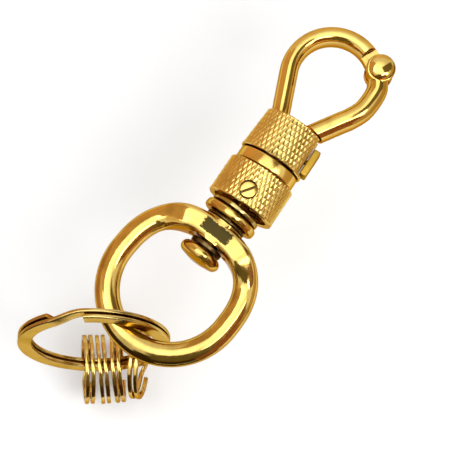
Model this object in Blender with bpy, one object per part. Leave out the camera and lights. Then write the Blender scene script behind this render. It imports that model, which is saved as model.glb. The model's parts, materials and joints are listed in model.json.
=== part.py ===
"""Swivel key clasp of brass: a hook loop with a hinged gate, a twist lock sleeve, a swivel bow,
a split key ring and four small split rings.

The hook's loop lies in the XY plane. +Y runs along the clasp's axis towards the hook, +X points to
the gate's side and +Z is up. The origin is the inside of the hook's curve, where the clasp hangs.
"""
import math

import bmesh
import bpy
from mathutils import Matrix, Vector

# Fits
CLEARANCE = 0.0003
OVERRUN = 0.001
EDGE = 0.00035
THIN_EDGE_SHARE = 0.3

# Hook bar and its loop
HOOK_BAR_WIDTH = 0.0044
HOOK_BAR_DEPTH = 0.0066
LOOP_RADIUS = 0.0103
LOOP_OFFSET = 0.0012
RIM_DROP = 0.01445
ARM_BASE_OFFSET = 0.004
CORE_RADIUS = 0.0054
BAR_EXPONENT = 2.7
ARM_STEP_SHARES = (0.12, 0.4, 0.75)

# Knuckle, rivet and gate
RIVET_ANGLE = math.radians(43)
RIVET_RADIUS_ON_LOOP = 0.0112
BAR_STOP_ANGLE = math.radians(50)
TONGUE_THICKNESS = 0.0026
TONGUE_RADIUS = 0.0031
RECESS_RADIUS = 0.0052
GATE_WIDTH = 0.005
GATE_DEPTH = 0.007
GATE_HEAD_RADIUS = 0.0034
GATE_SLOT_RADIUS = 0.0041
GATE_BASE_OFFSET = 0.0042
GATE_STEP_SHARES = (0.35, 0.75)
GATE_BEND_SHARE = 0.35
GATE_NECK_SHARE = 0.45
RIVET_SHANK_RADIUS = 0.0013
RIVET_HEAD_RADIUS = 0.00285
RIVET_HEAD_HEIGHT = 0.0011

# Gate tail, which drops into the core and passes through the sleeve's notch
TAIL_WIDTH = 0.0032
TAIL_THICKNESS = 0.0032
TAIL_DIP = 0.0021
TAIL_OFFSET = 0.00325
TAIL_EXPONENT = 6.0

# Twist lock sleeve
SLEEVE_LENGTH = 0.0103
SLEEVE_TOP_WALL = 0.0016
SLEEVE_BOTTOM_WALL = 0.0022
SLEEVE_FLAT_WALL = 0.001
SLEEVE_LEDGE = 0.0009
WASHER_POCKET_GAP = 0.0003
WASHER_POCKET_DEPTH = 0.001

# Wave washer under the sleeve
WAVE_WIDTH = 0.0009
WAVE_THICKNESS = 0.0003
WAVE_HEIGHT = 0.0002
WAVE_COUNT = 3

# Thumb tab and its pin
TAB_LENGTH = 0.0068
TAB_THICKNESS = 0.0017
TAB_DEPTH = 0.0044
TAB_PIN_RADIUS = 0.0006
TAB_PIN_HIDDEN_LENGTH = 0.001

# Guide band and lower collar
BAND_WALL = 0.0018
BAND_LENGTH = 0.0029
COLLAR_WALL = 0.0026
COLLAR_LENGTH = 0.0094
COLLAR_LIP_WALL = 0.0014
COLLAR_RECESS_DEPTH = 0.0012

# Slotted screw in the lower collar
SCREW_HEAD_RADIUS = 0.0019
SCREW_HEAD_THICKNESS = 0.0013
SCREW_SHANK_RADIUS = 0.0011
SCREW_SLOT_WIDTH = 0.0005
SCREW_SLOT_DEPTH = 0.0005
SCREW_SLOT_TURN = math.radians(37)
SCREW_HEIGHT_IN_COLLAR = 0.0033

# Swivel stack on the stem, which hangs a little askew in its loose bore
SWIVEL_LEAN = math.radians(-5)
STEM_RADIUS = 0.0022
STEM_GROOVE_DEPTH = 0.0006
STEM_REACH_IN_CORE = 0.0048
DISC_DROP = 0.0005
DISC_RADIUS = 0.0061
DISC_THICKNESS = 0.0012
BEAD_RADIUS = 0.0067
BEAD_THICKNESS = 0.0021
NECK_WASHER_RADIUS = 0.005
NECK_WASHER_THICKNESS = 0.0005
BUTTON_WASHER_RADIUS = 0.004
BUTTON_WASHER_THICKNESS = 0.0012
BUTTON_RADIUS = 0.00515
BUTTON_THICKNESS = 0.0028
BUTTON_DOME_SHARE = 0.4

# Bow
BOW_HALF_WIDTH = 0.01485
BOW_HALF_HEIGHT = 0.0154
BOW_SHOULDER_EXPONENT = 2.55
BOW_BAR_RADIUS = 0.00285
BOSS_DEPTH = 0.0046
BOSS_SEAT_RADIUS = 0.0051
BOSS_SPREAD = math.radians(44)
BOSS_BLEND = math.radians(20)
BOSS_EXPONENT = 5.0
ROUND_EXPONENT = 2.0

# Split key ring, hung over the bow's bar
KEY_RING_RADIUS = 0.0175
KEY_RING_WIRE_WIDTH = 0.0032
KEY_RING_WIRE_THICKNESS = 0.00095
KEY_RING_BOW_ANGLE = math.radians(254)
KEY_RING_TURN = math.radians(34)
KEY_RING_SWING = math.radians(-35)
KEY_RING_LEAN = math.radians(15)
KEY_RING_JOG_START = math.radians(-32)
KEY_RING_JOG_SPAN = math.radians(27)
KEY_RING_SLACK = 0.0006
SPLIT_GAP = 0.00045
WIRE_CHAMFER_SHARE = 0.34

# Small split rings, hung over the key ring's lowest arc
SMALL_RING_RADIUS = 0.0084
SMALL_RING_WIRE_WIDTH = 0.0013
SMALL_RING_WIRE_THICKNESS = 0.00095
SMALL_RING_JOG_START = math.radians(150)
SMALL_RING_JOG_SPAN = math.radians(40)
SMALL_RING_PLACES = tuple(math.radians(place) for place in (-8.5, 3, 15.5, 35.5))
SMALL_RING_YAWS = tuple(math.radians(yaw) for yaw in (3, 6, 5, -7))
SMALL_RING_SWING = math.radians(-8)
SMALL_RING_FAN_SHARE = 0.35
SMALL_RING_FAN_START = math.radians(-5)
RING_SLACK = 0.0005

# Mesh densities
ROUND_SIDES = 40
HEAD_SIDES = 32
SMALL_SIDES = 20
PIN_SIDES = 16
ROUND_OVER_STEPS = 6
RIVET_DOME_STEPS = 4
CURVE_STEPS = 3
BAR_SIDES = 14
LOOP_STEPS = 20
BOW_STEPS = 48
KEY_RING_STEPS = 40
SMALL_RING_STEPS = 22
SWEEP_CYLINDER_SIDES = 180

# Places that follow from the sizes
BORE_RADIUS = CORE_RADIUS + CLEARANCE
SLEEVE_TOP_RADIUS = BORE_RADIUS + SLEEVE_TOP_WALL
SLEEVE_BOTTOM_RADIUS = BORE_RADIUS + SLEEVE_BOTTOM_WALL
SLEEVE_FLAT_OFFSET = BORE_RADIUS + SLEEVE_FLAT_WALL
WASHER_POCKET_RADIUS = BORE_RADIUS + WAVE_WIDTH + WASHER_POCKET_GAP
BAND_RADIUS = BORE_RADIUS + BAND_WALL
COLLAR_RADIUS = BORE_RADIUS + COLLAR_WALL
COLLAR_RECESS_RADIUS = COLLAR_RADIUS - COLLAR_LIP_WALL
LOOP_INNER_RADIUS = LOOP_RADIUS - HOOK_BAR_WIDTH / 2
LOOP_CENTRE = Vector((LOOP_OFFSET, -math.sqrt(LOOP_INNER_RADIUS ** 2 - LOOP_OFFSET ** 2), 0))
RIM_Y = LOOP_CENTRE.y - RIM_DROP
RIVET = LOOP_CENTRE + RIVET_RADIUS_ON_LOOP * Vector((math.cos(RIVET_ANGLE), math.sin(RIVET_ANGLE), 0))
GATE_SWEEP_RADIUS = RIVET.y - RIM_Y - CLEARANCE
TAIL_SWEEP_RADIUS = RIVET.y - RIM_Y + TAIL_DIP
SLEEVE_BOTTOM_Y = RIM_Y - SLEEVE_LENGTH
BAND_TOP_Y = SLEEVE_BOTTOM_Y - CLEARANCE
COLLAR_TOP_Y = BAND_TOP_Y - BAND_LENGTH - CLEARANCE
COLLAR_BOTTOM_Y = COLLAR_TOP_Y - COLLAR_LENGTH
CORE_BOTTOM_Y = COLLAR_BOTTOM_Y + COLLAR_RECESS_DEPTH
SCREW_Y = COLLAR_BOTTOM_Y + SCREW_HEIGHT_IN_COLLAR
SCREW_TOP_Z = math.sqrt(COLLAR_RADIUS ** 2 - SCREW_HEAD_RADIUS ** 2)
STEM_TOP_Y = CORE_BOTTOM_Y + STEM_REACH_IN_CORE
STEM_BORE_RADIUS = STEM_RADIUS + CLEARANCE
DISC_TOP_Y = COLLAR_BOTTOM_Y - DISC_DROP
BEAD_TOP_Y = DISC_TOP_Y - DISC_THICKNESS - CLEARANCE
NECK_TOP_Y = BEAD_TOP_Y - BEAD_THICKNESS - CLEARANCE
BOSS_TOP_Y = NECK_TOP_Y - NECK_WASHER_THICKNESS - CLEARANCE
BOW_CENTRE = Vector((0, BOSS_TOP_Y - BOW_HALF_HEIGHT - BOW_BAR_RADIUS, 0))
BOSS_BOTTOM_Y = BOSS_TOP_Y - 2 * BOW_BAR_RADIUS
BUTTON_WASHER_TOP_Y = BOSS_BOTTOM_Y - CLEARANCE
BUTTON_TOP_Y = BUTTON_WASHER_TOP_Y - BUTTON_WASHER_THICKNESS - CLEARANCE
LEDGE_Y = SLEEVE_BOTTOM_Y + SLEEVE_LEDGE
TAB_BOTTOM_Y = LEDGE_Y + CLEARANCE
TAB_INNER_X = SLEEVE_FLAT_OFFSET + CLEARANCE
TAB_MIDDLE_Y = TAB_BOTTOM_Y + TAB_LENGTH / 2

SWIVEL_PIVOT = Vector((0, SCREW_Y, 0))
SWIVEL_PLACE = (
    Matrix.Translation(SWIVEL_PIVOT) @ Matrix.Rotation(SWIVEL_LEAN, 4, "Z")
    @ Matrix.Translation(-SWIVEL_PIVOT)
)

UP = Vector((0, 0, 1))
AXIS = Vector((0, 1, 0))


def clear_scene():
    for obj in list(bpy.data.objects):
        bpy.data.objects.remove(obj, do_unlink=True)


def brass(name, colour, roughness):
    """A metal finish made from a colour and a roughness."""
    material = bpy.data.materials.new(name)
    material.use_nodes = True
    shader = material.node_tree.nodes["Principled BSDF"]
    shader.inputs["Base Color"].default_value = (*colour, 1)
    shader.inputs["Roughness"].default_value = roughness
    shader.inputs["Metallic"].default_value = 1
    material.diffuse_color = (*colour, 1)
    return material


def new_object(name, bm, material=None):
    """Turn a bmesh into a named object with smooth faces and sharp edges kept."""
    bmesh.ops.recalc_face_normals(bm, faces=bm.faces)
    mesh = bpy.data.meshes.new(name)
    bm.to_mesh(mesh)
    bm.free()
    mesh.shade_smooth()
    mesh.set_sharp_from_angle(angle=math.radians(35))
    obj = bpy.data.objects.new(name, mesh)
    bpy.context.scene.collection.objects.link(obj)
    if material:
        mesh.materials.append(material)
    return obj


def skin(rings, closed_path, name, material=None):
    """Join equal rings of points into one closed tube, with flat ends unless the path closes."""
    bm = bmesh.new()
    rows = [[bm.verts.new(point) for point in ring] for ring in rings]
    pairs = list(zip(rows, rows[1:]))
    if closed_path:
        pairs.append((rows[-1], rows[0]))
    for near, far in pairs:
        for i in range(len(near)):
            j = (i + 1) % len(near)
            bm.faces.new((near[i], near[j], far[j], far[i]))
    if not closed_path:
        bm.faces.new(rows[0])
        bm.faces.new(rows[-1])
    return new_object(name, bm, material)


def turned(name, profile, sides, material=None, centre=Vector((0, 0, 0)), axis=AXIS):
    """Turn a closed profile of (radius, height) points about an axis through centre."""
    side = axis.orthogonal().normalized()
    front = axis.cross(side)
    bm = bmesh.new()
    rows = []
    for radius, height in profile:
        middle = centre + axis * height
        if radius == 0:
            rows.append([bm.verts.new(middle)])
            continue
        turns = [2 * math.pi * i / sides for i in range(sides)]
        rows.append([
            bm.verts.new(middle + radius * (math.cos(t) * side + math.sin(t) * front)) for t in turns
        ])
    solid = len(rows[0]) == 1
    pairs = list(zip(rows, rows[1:]))
    if not solid:
        pairs.append((rows[-1], rows[0]))
    for near, far in pairs:
        for i in range(sides):
            j = (i + 1) % sides
            corners = [near[i % len(near)], near[j % len(near)], far[j % len(far)], far[i % len(far)]]
            bm.faces.new(list(dict.fromkeys(corners)))
    return new_object(name, bm, material)


def box(name, low, high, material=None, bevel=0):
    """A block between two corners, with its edges rounded by bevel."""
    bm = bmesh.new()
    bmesh.ops.create_cube(bm, size=1)
    size = Vector(high) - Vector(low)
    place = Matrix.Translation((Vector(low) + Vector(high)) / 2) @ Matrix.Diagonal((*size, 1))
    bmesh.ops.transform(bm, matrix=place, verts=bm.verts)
    if bevel:
        bmesh.ops.bevel(bm, geom=bm.edges, offset=bevel, segments=2, profile=0.5, affect="EDGES")
    return new_object(name, bm, material)


def rod(name, radius, start, end, sides=SMALL_SIDES):
    """A plain cylinder from start to end."""
    start = Vector(start)
    length = (Vector(end) - start).length
    axis = (Vector(end) - start).normalized()
    return turned(name, [(0, 0), (radius, 0), (radius, length), (0, length)], sides, None, start, axis)


def combine(target, operand, operation):
    """Join or cut target with a hidden guide object."""
    modifier = target.modifiers.new(operand.name, "BOOLEAN")
    modifier.operation = operation
    modifier.solver = "EXACT"
    modifier.object = operand
    operand.hide_render = True
    operand.display_type = "WIRE"


def cut(target, *operands):
    for operand in operands:
        combine(target, operand, "DIFFERENCE")


def join(target, *operands):
    for operand in operands:
        combine(target, operand, "UNION")


def put_origin(obj, point):
    """Move the object's origin to a point on its joint's axis, and leave its shape where it is."""
    obj.data.transform(Matrix.Translation(-Vector(point)))
    obj.location = point


def superellipse(half_width, half_depth, exponent, sides):
    """Points of a section between a circle (2) and a square (large exponents)."""
    points = []
    for i in range(sides):
        angle = 2 * math.pi * (i + 0.5) / sides
        across = math.cos(angle)
        along = math.sin(angle)
        points.append((
            half_width * math.copysign(abs(across) ** (2 / exponent), across),
            half_depth * math.copysign(abs(along) ** (2 / exponent), along),
        ))
    return points


def flat_bar(name, path, width, depth, material=None, exponent=BAR_EXPONENT):
    """Sweep the bar's section along a path in the XY plane, its depth along Z."""
    section = superellipse(width / 2, depth / 2, exponent, BAR_SIDES)
    rings = []
    for i, point in enumerate(path):
        ahead = path[min(i + 1, len(path) - 1)]
        behind = path[max(i - 1, 0)]
        along = (ahead - behind).normalized()
        across = UP.cross(along)
        rings.append([point + across * a + UP * b for a, b in section])
    return skin(rings, False, name, material)


def tangent_angle(base, left):
    """Angle on the loop where the straight arm from base meets it."""
    reach = base - LOOP_CENTRE
    turn = math.acos(LOOP_RADIUS / reach.length)
    heading = math.atan2(reach.y, reach.x)
    return heading - turn if left else heading + turn


def loop_point(angle, radius=LOOP_RADIUS):
    return LOOP_CENTRE + radius * Vector((math.cos(angle), math.sin(angle), 0))


def make_hook_frame(material):
    """Loop, knuckle tongue and turned core in one casting."""
    base = Vector((-ARM_BASE_OFFSET, RIM_Y, 0))
    root = base - AXIS * (HOOK_BAR_WIDTH / 2)
    first = tangent_angle(base, True) + 2 * math.pi
    last = BAR_STOP_ANGLE
    start = loop_point(first)
    arc = [loop_point(first + (last - first) * i / LOOP_STEPS) for i in range(LOOP_STEPS + 1)]
    arm = [root] + [base.lerp(start, share) for share in ARM_STEP_SHARES]
    frame = flat_bar("hook_frame", arm + arc, HOOK_BAR_WIDTH, HOOK_BAR_DEPTH, material)

    inner = CORE_RADIUS - CLEARANCE
    outer = SLEEVE_BOTTOM_RADIUS + OVERRUN
    space = [
        (inner, SLEEVE_BOTTOM_Y), (outer, SLEEVE_BOTTOM_Y),
        (outer, RIM_Y + CLEARANCE), (inner, RIM_Y + CLEARANCE),
    ]
    cut(frame, turned("sleeve_space", space, ROUND_SIDES))

    core = [(0, CORE_BOTTOM_Y), (CORE_RADIUS, CORE_BOTTOM_Y), (CORE_RADIUS, RIM_Y), (0, RIM_Y)]
    join(frame, turned("core_form", core, ROUND_SIDES))

    half = TONGUE_THICKNESS / 2
    for side in (1, -1):
        low = RIVET + UP * (side * half)
        high = RIVET + UP * (side * (GATE_DEPTH / 2 + OVERRUN))
        cut(frame, rod(f"knuckle_recess_{side + 1}", RECESS_RADIUS, low, high, ROUND_SIDES))
    join(frame, rod("tongue_form", TONGUE_RADIUS, RIVET - UP * half, RIVET + UP * half))
    cut(frame, rivet_hole("tongue_hole"))

    pocket_half = TAIL_THICKNESS / 2 + CLEARANCE
    floor = RIVET.y - TAIL_SWEEP_RADIUS - CLEARANCE
    lean = gate_lean()
    tail_left = TAIL_OFFSET - TAIL_WIDTH / 2 / lean.y - (RIM_Y - floor) * lean.x / lean.y
    low = (tail_left - CLEARANCE, floor, -pocket_half)
    high = (CORE_RADIUS + OVERRUN, RIM_Y + OVERRUN, pocket_half)
    cut(frame, box("tail_pocket", low, high))

    top = Vector((0, STEM_TOP_Y + CLEARANCE, 0))
    cut(frame, rod("stem_bore", STEM_BORE_RADIUS, Vector((0, CORE_BOTTOM_Y - OVERRUN, 0)), top))
    reach = Vector((0, SCREW_Y, COLLAR_RADIUS))
    cut(frame, rod("core_screw_hole", SCREW_SHANK_RADIUS + CLEARANCE, Vector((0, SCREW_Y, 0)), reach))
    return frame


def gate_lean():
    """Direction of the gate's straight part, from the rim towards the loop."""
    base = Vector((GATE_BASE_OFFSET, RIM_Y, 0))
    return (loop_point(tangent_angle(base, False)) - base).normalized()


def rivet_hole(name):
    reach = UP * (GATE_DEPTH / 2 + OVERRUN)
    return rod(name, RIVET_SHANK_RADIUS + CLEARANCE, RIVET - reach, RIVET + reach)


def make_gate(material):
    """Forked head on the rivet, a curved arm, and a thin tail that drops into the core."""
    base = Vector((GATE_BASE_OFFSET, RIM_Y, 0))
    last = tangent_angle(base, False)
    start = loop_point(last)
    foot = base + (base - start).normalized() * TAIL_DIP
    straight = [foot] + [base.lerp(start, share) for share in GATE_STEP_SHARES]
    bend = loop_point(last * GATE_BEND_SHARE)
    shoulder = loop_point(RIVET_ANGLE * GATE_BEND_SHARE, LOOP_RADIUS + CLEARANCE)
    neck = RIVET.lerp(shoulder, GATE_NECK_SHARE)
    path = smooth_path(straight + [start, bend, shoulder, neck, RIVET])
    gate = flat_bar("gate_arm", path, GATE_WIDTH, GATE_DEPTH, material)

    half = GATE_DEPTH / 2
    join(gate, rod("gate_head_form", GATE_HEAD_RADIUS, RIVET - UP * half, RIVET + UP * half, HEAD_SIDES))
    reach = UP * (half + OVERRUN)
    sweep = rod("gate_sweep", GATE_SWEEP_RADIUS, RIVET - reach, RIVET + reach, SWEEP_CYLINDER_SIDES)
    combine(gate, sweep, "INTERSECT")

    lean = gate_lean()
    middle = Vector((TAIL_OFFSET, RIM_Y, 0))
    ends = [middle - lean * (2 * TAIL_DIP), middle, middle + lean * TAIL_WIDTH]
    tail = flat_bar("tail_form", ends, TAIL_WIDTH, TAIL_THICKNESS, None, TAIL_EXPONENT)
    tail_sweep = rod("tail_sweep", TAIL_SWEEP_RADIUS, RIVET - reach, RIVET + reach, SWEEP_CYLINDER_SIDES)
    combine(tail, tail_sweep, "INTERSECT")
    join(gate, tail)

    slot = UP * (TONGUE_THICKNESS / 2 + CLEARANCE)
    cut(gate, rod("gate_slot", GATE_SLOT_RADIUS, RIVET - slot, RIVET + slot, HEAD_SIDES))
    cut(gate, rivet_hole("gate_hole"))
    put_origin(gate, RIVET)
    return gate


def smooth_path(points):
    """A Catmull-Rom curve through the points."""
    curve = []
    for i in range(len(points) - 1):
        before = points[max(i - 1, 0)]
        near = points[i]
        far = points[i + 1]
        after = points[min(i + 2, len(points) - 1)]
        for k in range(CURVE_STEPS):
            t = k / CURVE_STEPS
            linear = (far - before) * t
            square = (2 * before - 5 * near + 4 * far - after) * t ** 2
            cube = (3 * near - before - 3 * far + after) * t ** 3
            curve.append((2 * near + linear + square + cube) / 2)
    curve.append(points[-1])
    return curve


def make_rivet(material):
    """Shank through fork and tongue, with a domed head at each end."""
    base = GATE_DEPTH / 2 + CLEARANCE
    dome = []
    for i in range(RIVET_DOME_STEPS):
        angle = math.pi / 2 * i / RIVET_DOME_STEPS
        dome.append((RIVET_HEAD_RADIUS * math.cos(angle), base + EDGE + RIVET_HEAD_HEIGHT * math.sin(angle)))
    dome.append((0, base + EDGE + RIVET_HEAD_HEIGHT))
    upper = [(RIVET_SHANK_RADIUS, base), (RIVET_HEAD_RADIUS, base)] + dome
    lower = [(radius, -height) for radius, height in reversed(upper)]
    return turned("gate_rivet", lower + upper, HEAD_SIDES, material, RIVET, UP)


def make_sleeve(material):
    """Lock sleeve with a flat for the tab and a notch that lets the gate's tail out."""
    high = RIM_Y
    low = SLEEVE_BOTTOM_Y
    floor = low + WASHER_POCKET_DEPTH
    profile = [
        (BORE_RADIUS, high), (SLEEVE_TOP_RADIUS - EDGE, high), (SLEEVE_TOP_RADIUS, high - EDGE),
        (SLEEVE_BOTTOM_RADIUS, low + EDGE), (SLEEVE_BOTTOM_RADIUS - EDGE, low),
        (WASHER_POCKET_RADIUS, low), (WASHER_POCKET_RADIUS, floor), (BORE_RADIUS, floor),
    ]
    sleeve = turned("lock_sleeve", profile, ROUND_SIDES, material)
    reach = SLEEVE_BOTTOM_RADIUS + OVERRUN
    cut(sleeve, box("tab_flat", (SLEEVE_FLAT_OFFSET, LEDGE_Y, -reach), (reach, RIM_Y + OVERRUN, reach)))
    notch_half = TAIL_THICKNESS / 2 + CLEARANCE
    notch_floor = RIVET.y - TAIL_SWEEP_RADIUS - CLEARANCE
    cut(sleeve, box("gate_notch", (CORE_RADIUS, notch_floor, -notch_half), (reach, RIM_Y + OVERRUN, notch_half)))
    cut(sleeve, tab_pin_hole("sleeve_pin_hole", BORE_RADIUS - OVERRUN / 2, reach))
    put_origin(sleeve, (0, RIM_Y - SLEEVE_LENGTH / 2, 0))
    return sleeve


def tab_pin_hole(name, start, end):
    y = TAB_MIDDLE_Y
    return rod(name, TAB_PIN_RADIUS + CLEARANCE, Vector((start, y, 0)), Vector((end, y, 0)), PIN_SIDES)


def make_tab(material):
    """Thumb tab that turns the sleeve."""
    half = TAB_DEPTH / 2
    low = (TAB_INNER_X, TAB_BOTTOM_Y, -half)
    high = (TAB_INNER_X + TAB_THICKNESS, TAB_BOTTOM_Y + TAB_LENGTH, half)
    tab = box("thumb_tab", low, high, material, EDGE)
    depth = TAB_INNER_X + TAB_PIN_HIDDEN_LENGTH + CLEARANCE
    cut(tab, tab_pin_hole("tab_pin_socket", TAB_INNER_X - OVERRUN, depth))
    put_origin(tab, (0, RIM_Y - SLEEVE_LENGTH / 2, 0))
    return tab


def make_tab_pin(material):
    """Pin from the sleeve's wall into the back of the tab."""
    start = Vector((BORE_RADIUS + EDGE / 2, TAB_MIDDLE_Y, 0))
    end = Vector((TAB_INNER_X + TAB_PIN_HIDDEN_LENGTH, TAB_MIDDLE_Y, 0))
    pin = rod("tab_pin", TAB_PIN_RADIUS, start, end, PIN_SIDES)
    pin.data.materials.append(material)
    put_origin(pin, (0, RIM_Y - SLEEVE_LENGTH / 2, 0))
    return pin


def make_wave_washer(material):
    """Springy washer that gives the sleeve its drag."""
    middle = (BAND_TOP_Y + SLEEVE_BOTTOM_Y + WASHER_POCKET_DEPTH) / 2
    inner = BORE_RADIUS
    outer = BORE_RADIUS + WAVE_WIDTH
    half = WAVE_THICKNESS / 2
    rings = []
    for i in range(ROUND_SIDES):
        turn = 2 * math.pi * i / ROUND_SIDES
        out = Vector((math.cos(turn), 0, math.sin(turn)))
        lift = middle + WAVE_HEIGHT * math.sin(WAVE_COUNT * turn)
        corners = [(inner, -half), (outer, -half), (outer, half), (inner, half)]
        rings.append([out * radius + AXIS * (lift + rise) for radius, rise in corners])
    return skin(rings, True, "wave_washer", material)


def tube_profile(inner, outer, low, high):
    """A tube with both outer edges chamfered."""
    edge = min(EDGE, (high - low) * THIN_EDGE_SHARE)
    return [
        (inner, low), (outer - edge, low), (outer, low + edge),
        (outer, high - edge), (outer - edge, high), (inner, high),
    ]


def make_band(material):
    profile = tube_profile(BORE_RADIUS, BAND_RADIUS, BAND_TOP_Y - BAND_LENGTH, BAND_TOP_Y)
    return turned("guide_band", profile, ROUND_SIDES, material)


def make_collar(material):
    """Lower collar with a recess at its swivel end and a hole for the slotted screw."""
    low = COLLAR_BOTTOM_Y
    high = COLLAR_TOP_Y
    profile = tube_profile(COLLAR_RECESS_RADIUS, COLLAR_RADIUS, low, high)[:-1]
    profile += [(BORE_RADIUS, high), (BORE_RADIUS, CORE_BOTTOM_Y), (COLLAR_RECESS_RADIUS, CORE_BOTTOM_Y)]
    collar = turned("lower_collar", profile, ROUND_SIDES, material)
    seat = SCREW_TOP_Z - SCREW_HEAD_THICKNESS - CLEARANCE
    top = COLLAR_RADIUS + OVERRUN
    head = rod("screw_head_hole", SCREW_HEAD_RADIUS + CLEARANCE, (0, SCREW_Y, seat), (0, SCREW_Y, top))
    shank = rod("screw_shank_hole", SCREW_SHANK_RADIUS + CLEARANCE, (0, SCREW_Y, CORE_RADIUS), (0, SCREW_Y, top))
    cut(collar, head, shank)
    return collar


def make_screw(material):
    """Slotted screw that locks collar, core and stem together."""
    top = SCREW_TOP_Z
    under = top - SCREW_HEAD_THICKNESS
    tip = STEM_RADIUS - STEM_GROOVE_DEPTH + CLEARANCE
    edge = EDGE / 2
    profile = [
        (0, tip), (SCREW_SHANK_RADIUS - edge, tip), (SCREW_SHANK_RADIUS, tip + edge),
        (SCREW_SHANK_RADIUS, under), (SCREW_HEAD_RADIUS, under), (SCREW_HEAD_RADIUS, top - edge),
        (SCREW_HEAD_RADIUS - edge, top), (0, top),
    ]
    screw = turned("collar_screw", profile, HEAD_SIDES, material, Vector((0, SCREW_Y, 0)), UP)
    reach = SCREW_HEAD_RADIUS + OVERRUN
    half = SCREW_SLOT_WIDTH / 2
    slot = box("screw_slot", (-half, -reach, top - SCREW_SLOT_DEPTH), (half, reach, top + OVERRUN))
    slot.location = (0, SCREW_Y, 0)
    slot.rotation_euler = (0, 0, -SCREW_SLOT_TURN)
    cut(screw, slot)
    return screw


def lean_swivel(*pieces):
    """Turn finished swivel pieces, and the guides that shape them, into their askew place."""
    for piece in pieces:
        guides = [modifier.object for modifier in piece.modifiers]
        for obj in [piece, *guides]:
            obj.matrix_basis = SWIVEL_PLACE @ obj.matrix_basis


def make_stem(material):
    """Swivel stem with the screw's groove near its top and the button head inside the bow."""
    groove = STEM_RADIUS - STEM_GROOVE_DEPTH
    groove_half = SCREW_SHANK_RADIUS + CLEARANCE
    low = BUTTON_TOP_Y - BUTTON_THICKNESS
    middle = BUTTON_TOP_Y - BUTTON_THICKNESS / 2
    half = BUTTON_THICKNESS / 2
    rim = []
    for i in range(ROUND_OVER_STEPS + 1):
        angle = math.pi / 2 - math.pi * i / ROUND_OVER_STEPS
        rim.append((BUTTON_RADIUS - half + half * math.cos(angle), middle + half * math.sin(angle)))
    profile = [
        (0, STEM_TOP_Y), (STEM_RADIUS - EDGE, STEM_TOP_Y), (STEM_RADIUS, STEM_TOP_Y - EDGE),
        (STEM_RADIUS, SCREW_Y + groove_half), (groove, SCREW_Y + groove_half),
        (groove, SCREW_Y - groove_half), (STEM_RADIUS, SCREW_Y - groove_half),
        (STEM_RADIUS, BUTTON_TOP_Y),
    ] + rim + [(BUTTON_RADIUS * BUTTON_DOME_SHARE, low - EDGE), (0, low - EDGE)]
    return turned("swivel_stem", profile, ROUND_SIDES, material)


def ring_profile(outer, top, thickness):
    """A washer on the stem."""
    return tube_profile(STEM_BORE_RADIUS, outer, top - thickness, top)


def make_bead(material):
    """Rounded ring between the disc and the bow's boss."""
    half = BEAD_THICKNESS / 2
    middle = BEAD_TOP_Y - half
    profile = [(STEM_BORE_RADIUS, middle - half)]
    for i in range(ROUND_OVER_STEPS + 1):
        angle = -math.pi / 2 + math.pi * i / ROUND_OVER_STEPS
        profile.append((BEAD_RADIUS - half + half * math.cos(angle), middle + half * math.sin(angle)))
    profile.append((STEM_BORE_RADIUS, middle + half))
    return turned("swivel_bead", profile, ROUND_SIDES, material)


def bow_point(angle):
    """Middle of the bow's bar: an ellipse below, and squarer shoulders above."""
    across = math.cos(angle)
    along = math.sin(angle)
    power = 2 / BOW_SHOULDER_EXPONENT if along > 0 else 1
    x = BOW_HALF_WIDTH * math.copysign(abs(across) ** power, across)
    y = BOW_HALF_HEIGHT * math.copysign(abs(along) ** power, along)
    return BOW_CENTRE + Vector((x, y, 0))


def bow_tangent(angle):
    step = math.pi / BOW_STEPS
    return (bow_point(angle + step) - bow_point(angle - step)).normalized()


def blend(value):
    """Smooth step from 0 to 1."""
    value = min(max(value, 0), 1)
    return value * value * (3 - 2 * value)


def make_bow(material):
    """Oval ring whose bar swells into a square boss with the stem's hole."""
    rings = []
    for i in range(BOW_STEPS):
        angle = 2 * math.pi * i / BOW_STEPS
        away = abs(angle - math.pi / 2)
        share = 1 - blend((away - BOSS_SPREAD / 2) / BOSS_BLEND)
        depth = BOW_BAR_RADIUS + (BOSS_DEPTH - BOW_BAR_RADIUS) * share
        exponent = ROUND_EXPONENT + (BOSS_EXPONENT - ROUND_EXPONENT) * share
        out = bow_tangent(angle).cross(UP)
        section = superellipse(BOW_BAR_RADIUS, depth, exponent, BAR_SIDES)
        rings.append([bow_point(angle) + out * a + UP * b for a, b in section])
    bow = skin(rings, True, "bow", material)
    low = (0, BOSS_BOTTOM_Y - BOW_BAR_RADIUS, 0)
    high = (0, BOSS_TOP_Y + BOW_BAR_RADIUS, 0)
    seat = (0, BOSS_BOTTOM_Y - EDGE, 0)
    join(bow, rod("boss_seat_form", BOSS_SEAT_RADIUS, seat, (0, BOSS_TOP_Y, 0), HEAD_SIDES))
    cut(bow, rod("spot_face", BOSS_SEAT_RADIUS + CLEARANCE, low, (0, BOSS_BOTTOM_Y, 0), HEAD_SIDES))
    cut(bow, rod("boss_hole", STEM_BORE_RADIUS, low, high))
    put_origin(bow, (0, BOSS_TOP_Y, 0))
    return bow


def wire_section(width, thickness):
    """Flat wire with chamfered edges: half sizes across the ring and along its axis."""
    chamfer = thickness * WIRE_CHAMFER_SHARE
    w = width / 2
    t = thickness / 2
    return [
        (w, t - chamfer), (w - chamfer, t), (chamfer - w, t), (-w, t - chamfer),
        (-w, chamfer - t), (chamfer - w, -t), (w - chamfer, -t), (w, chamfer - t),
    ]


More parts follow.
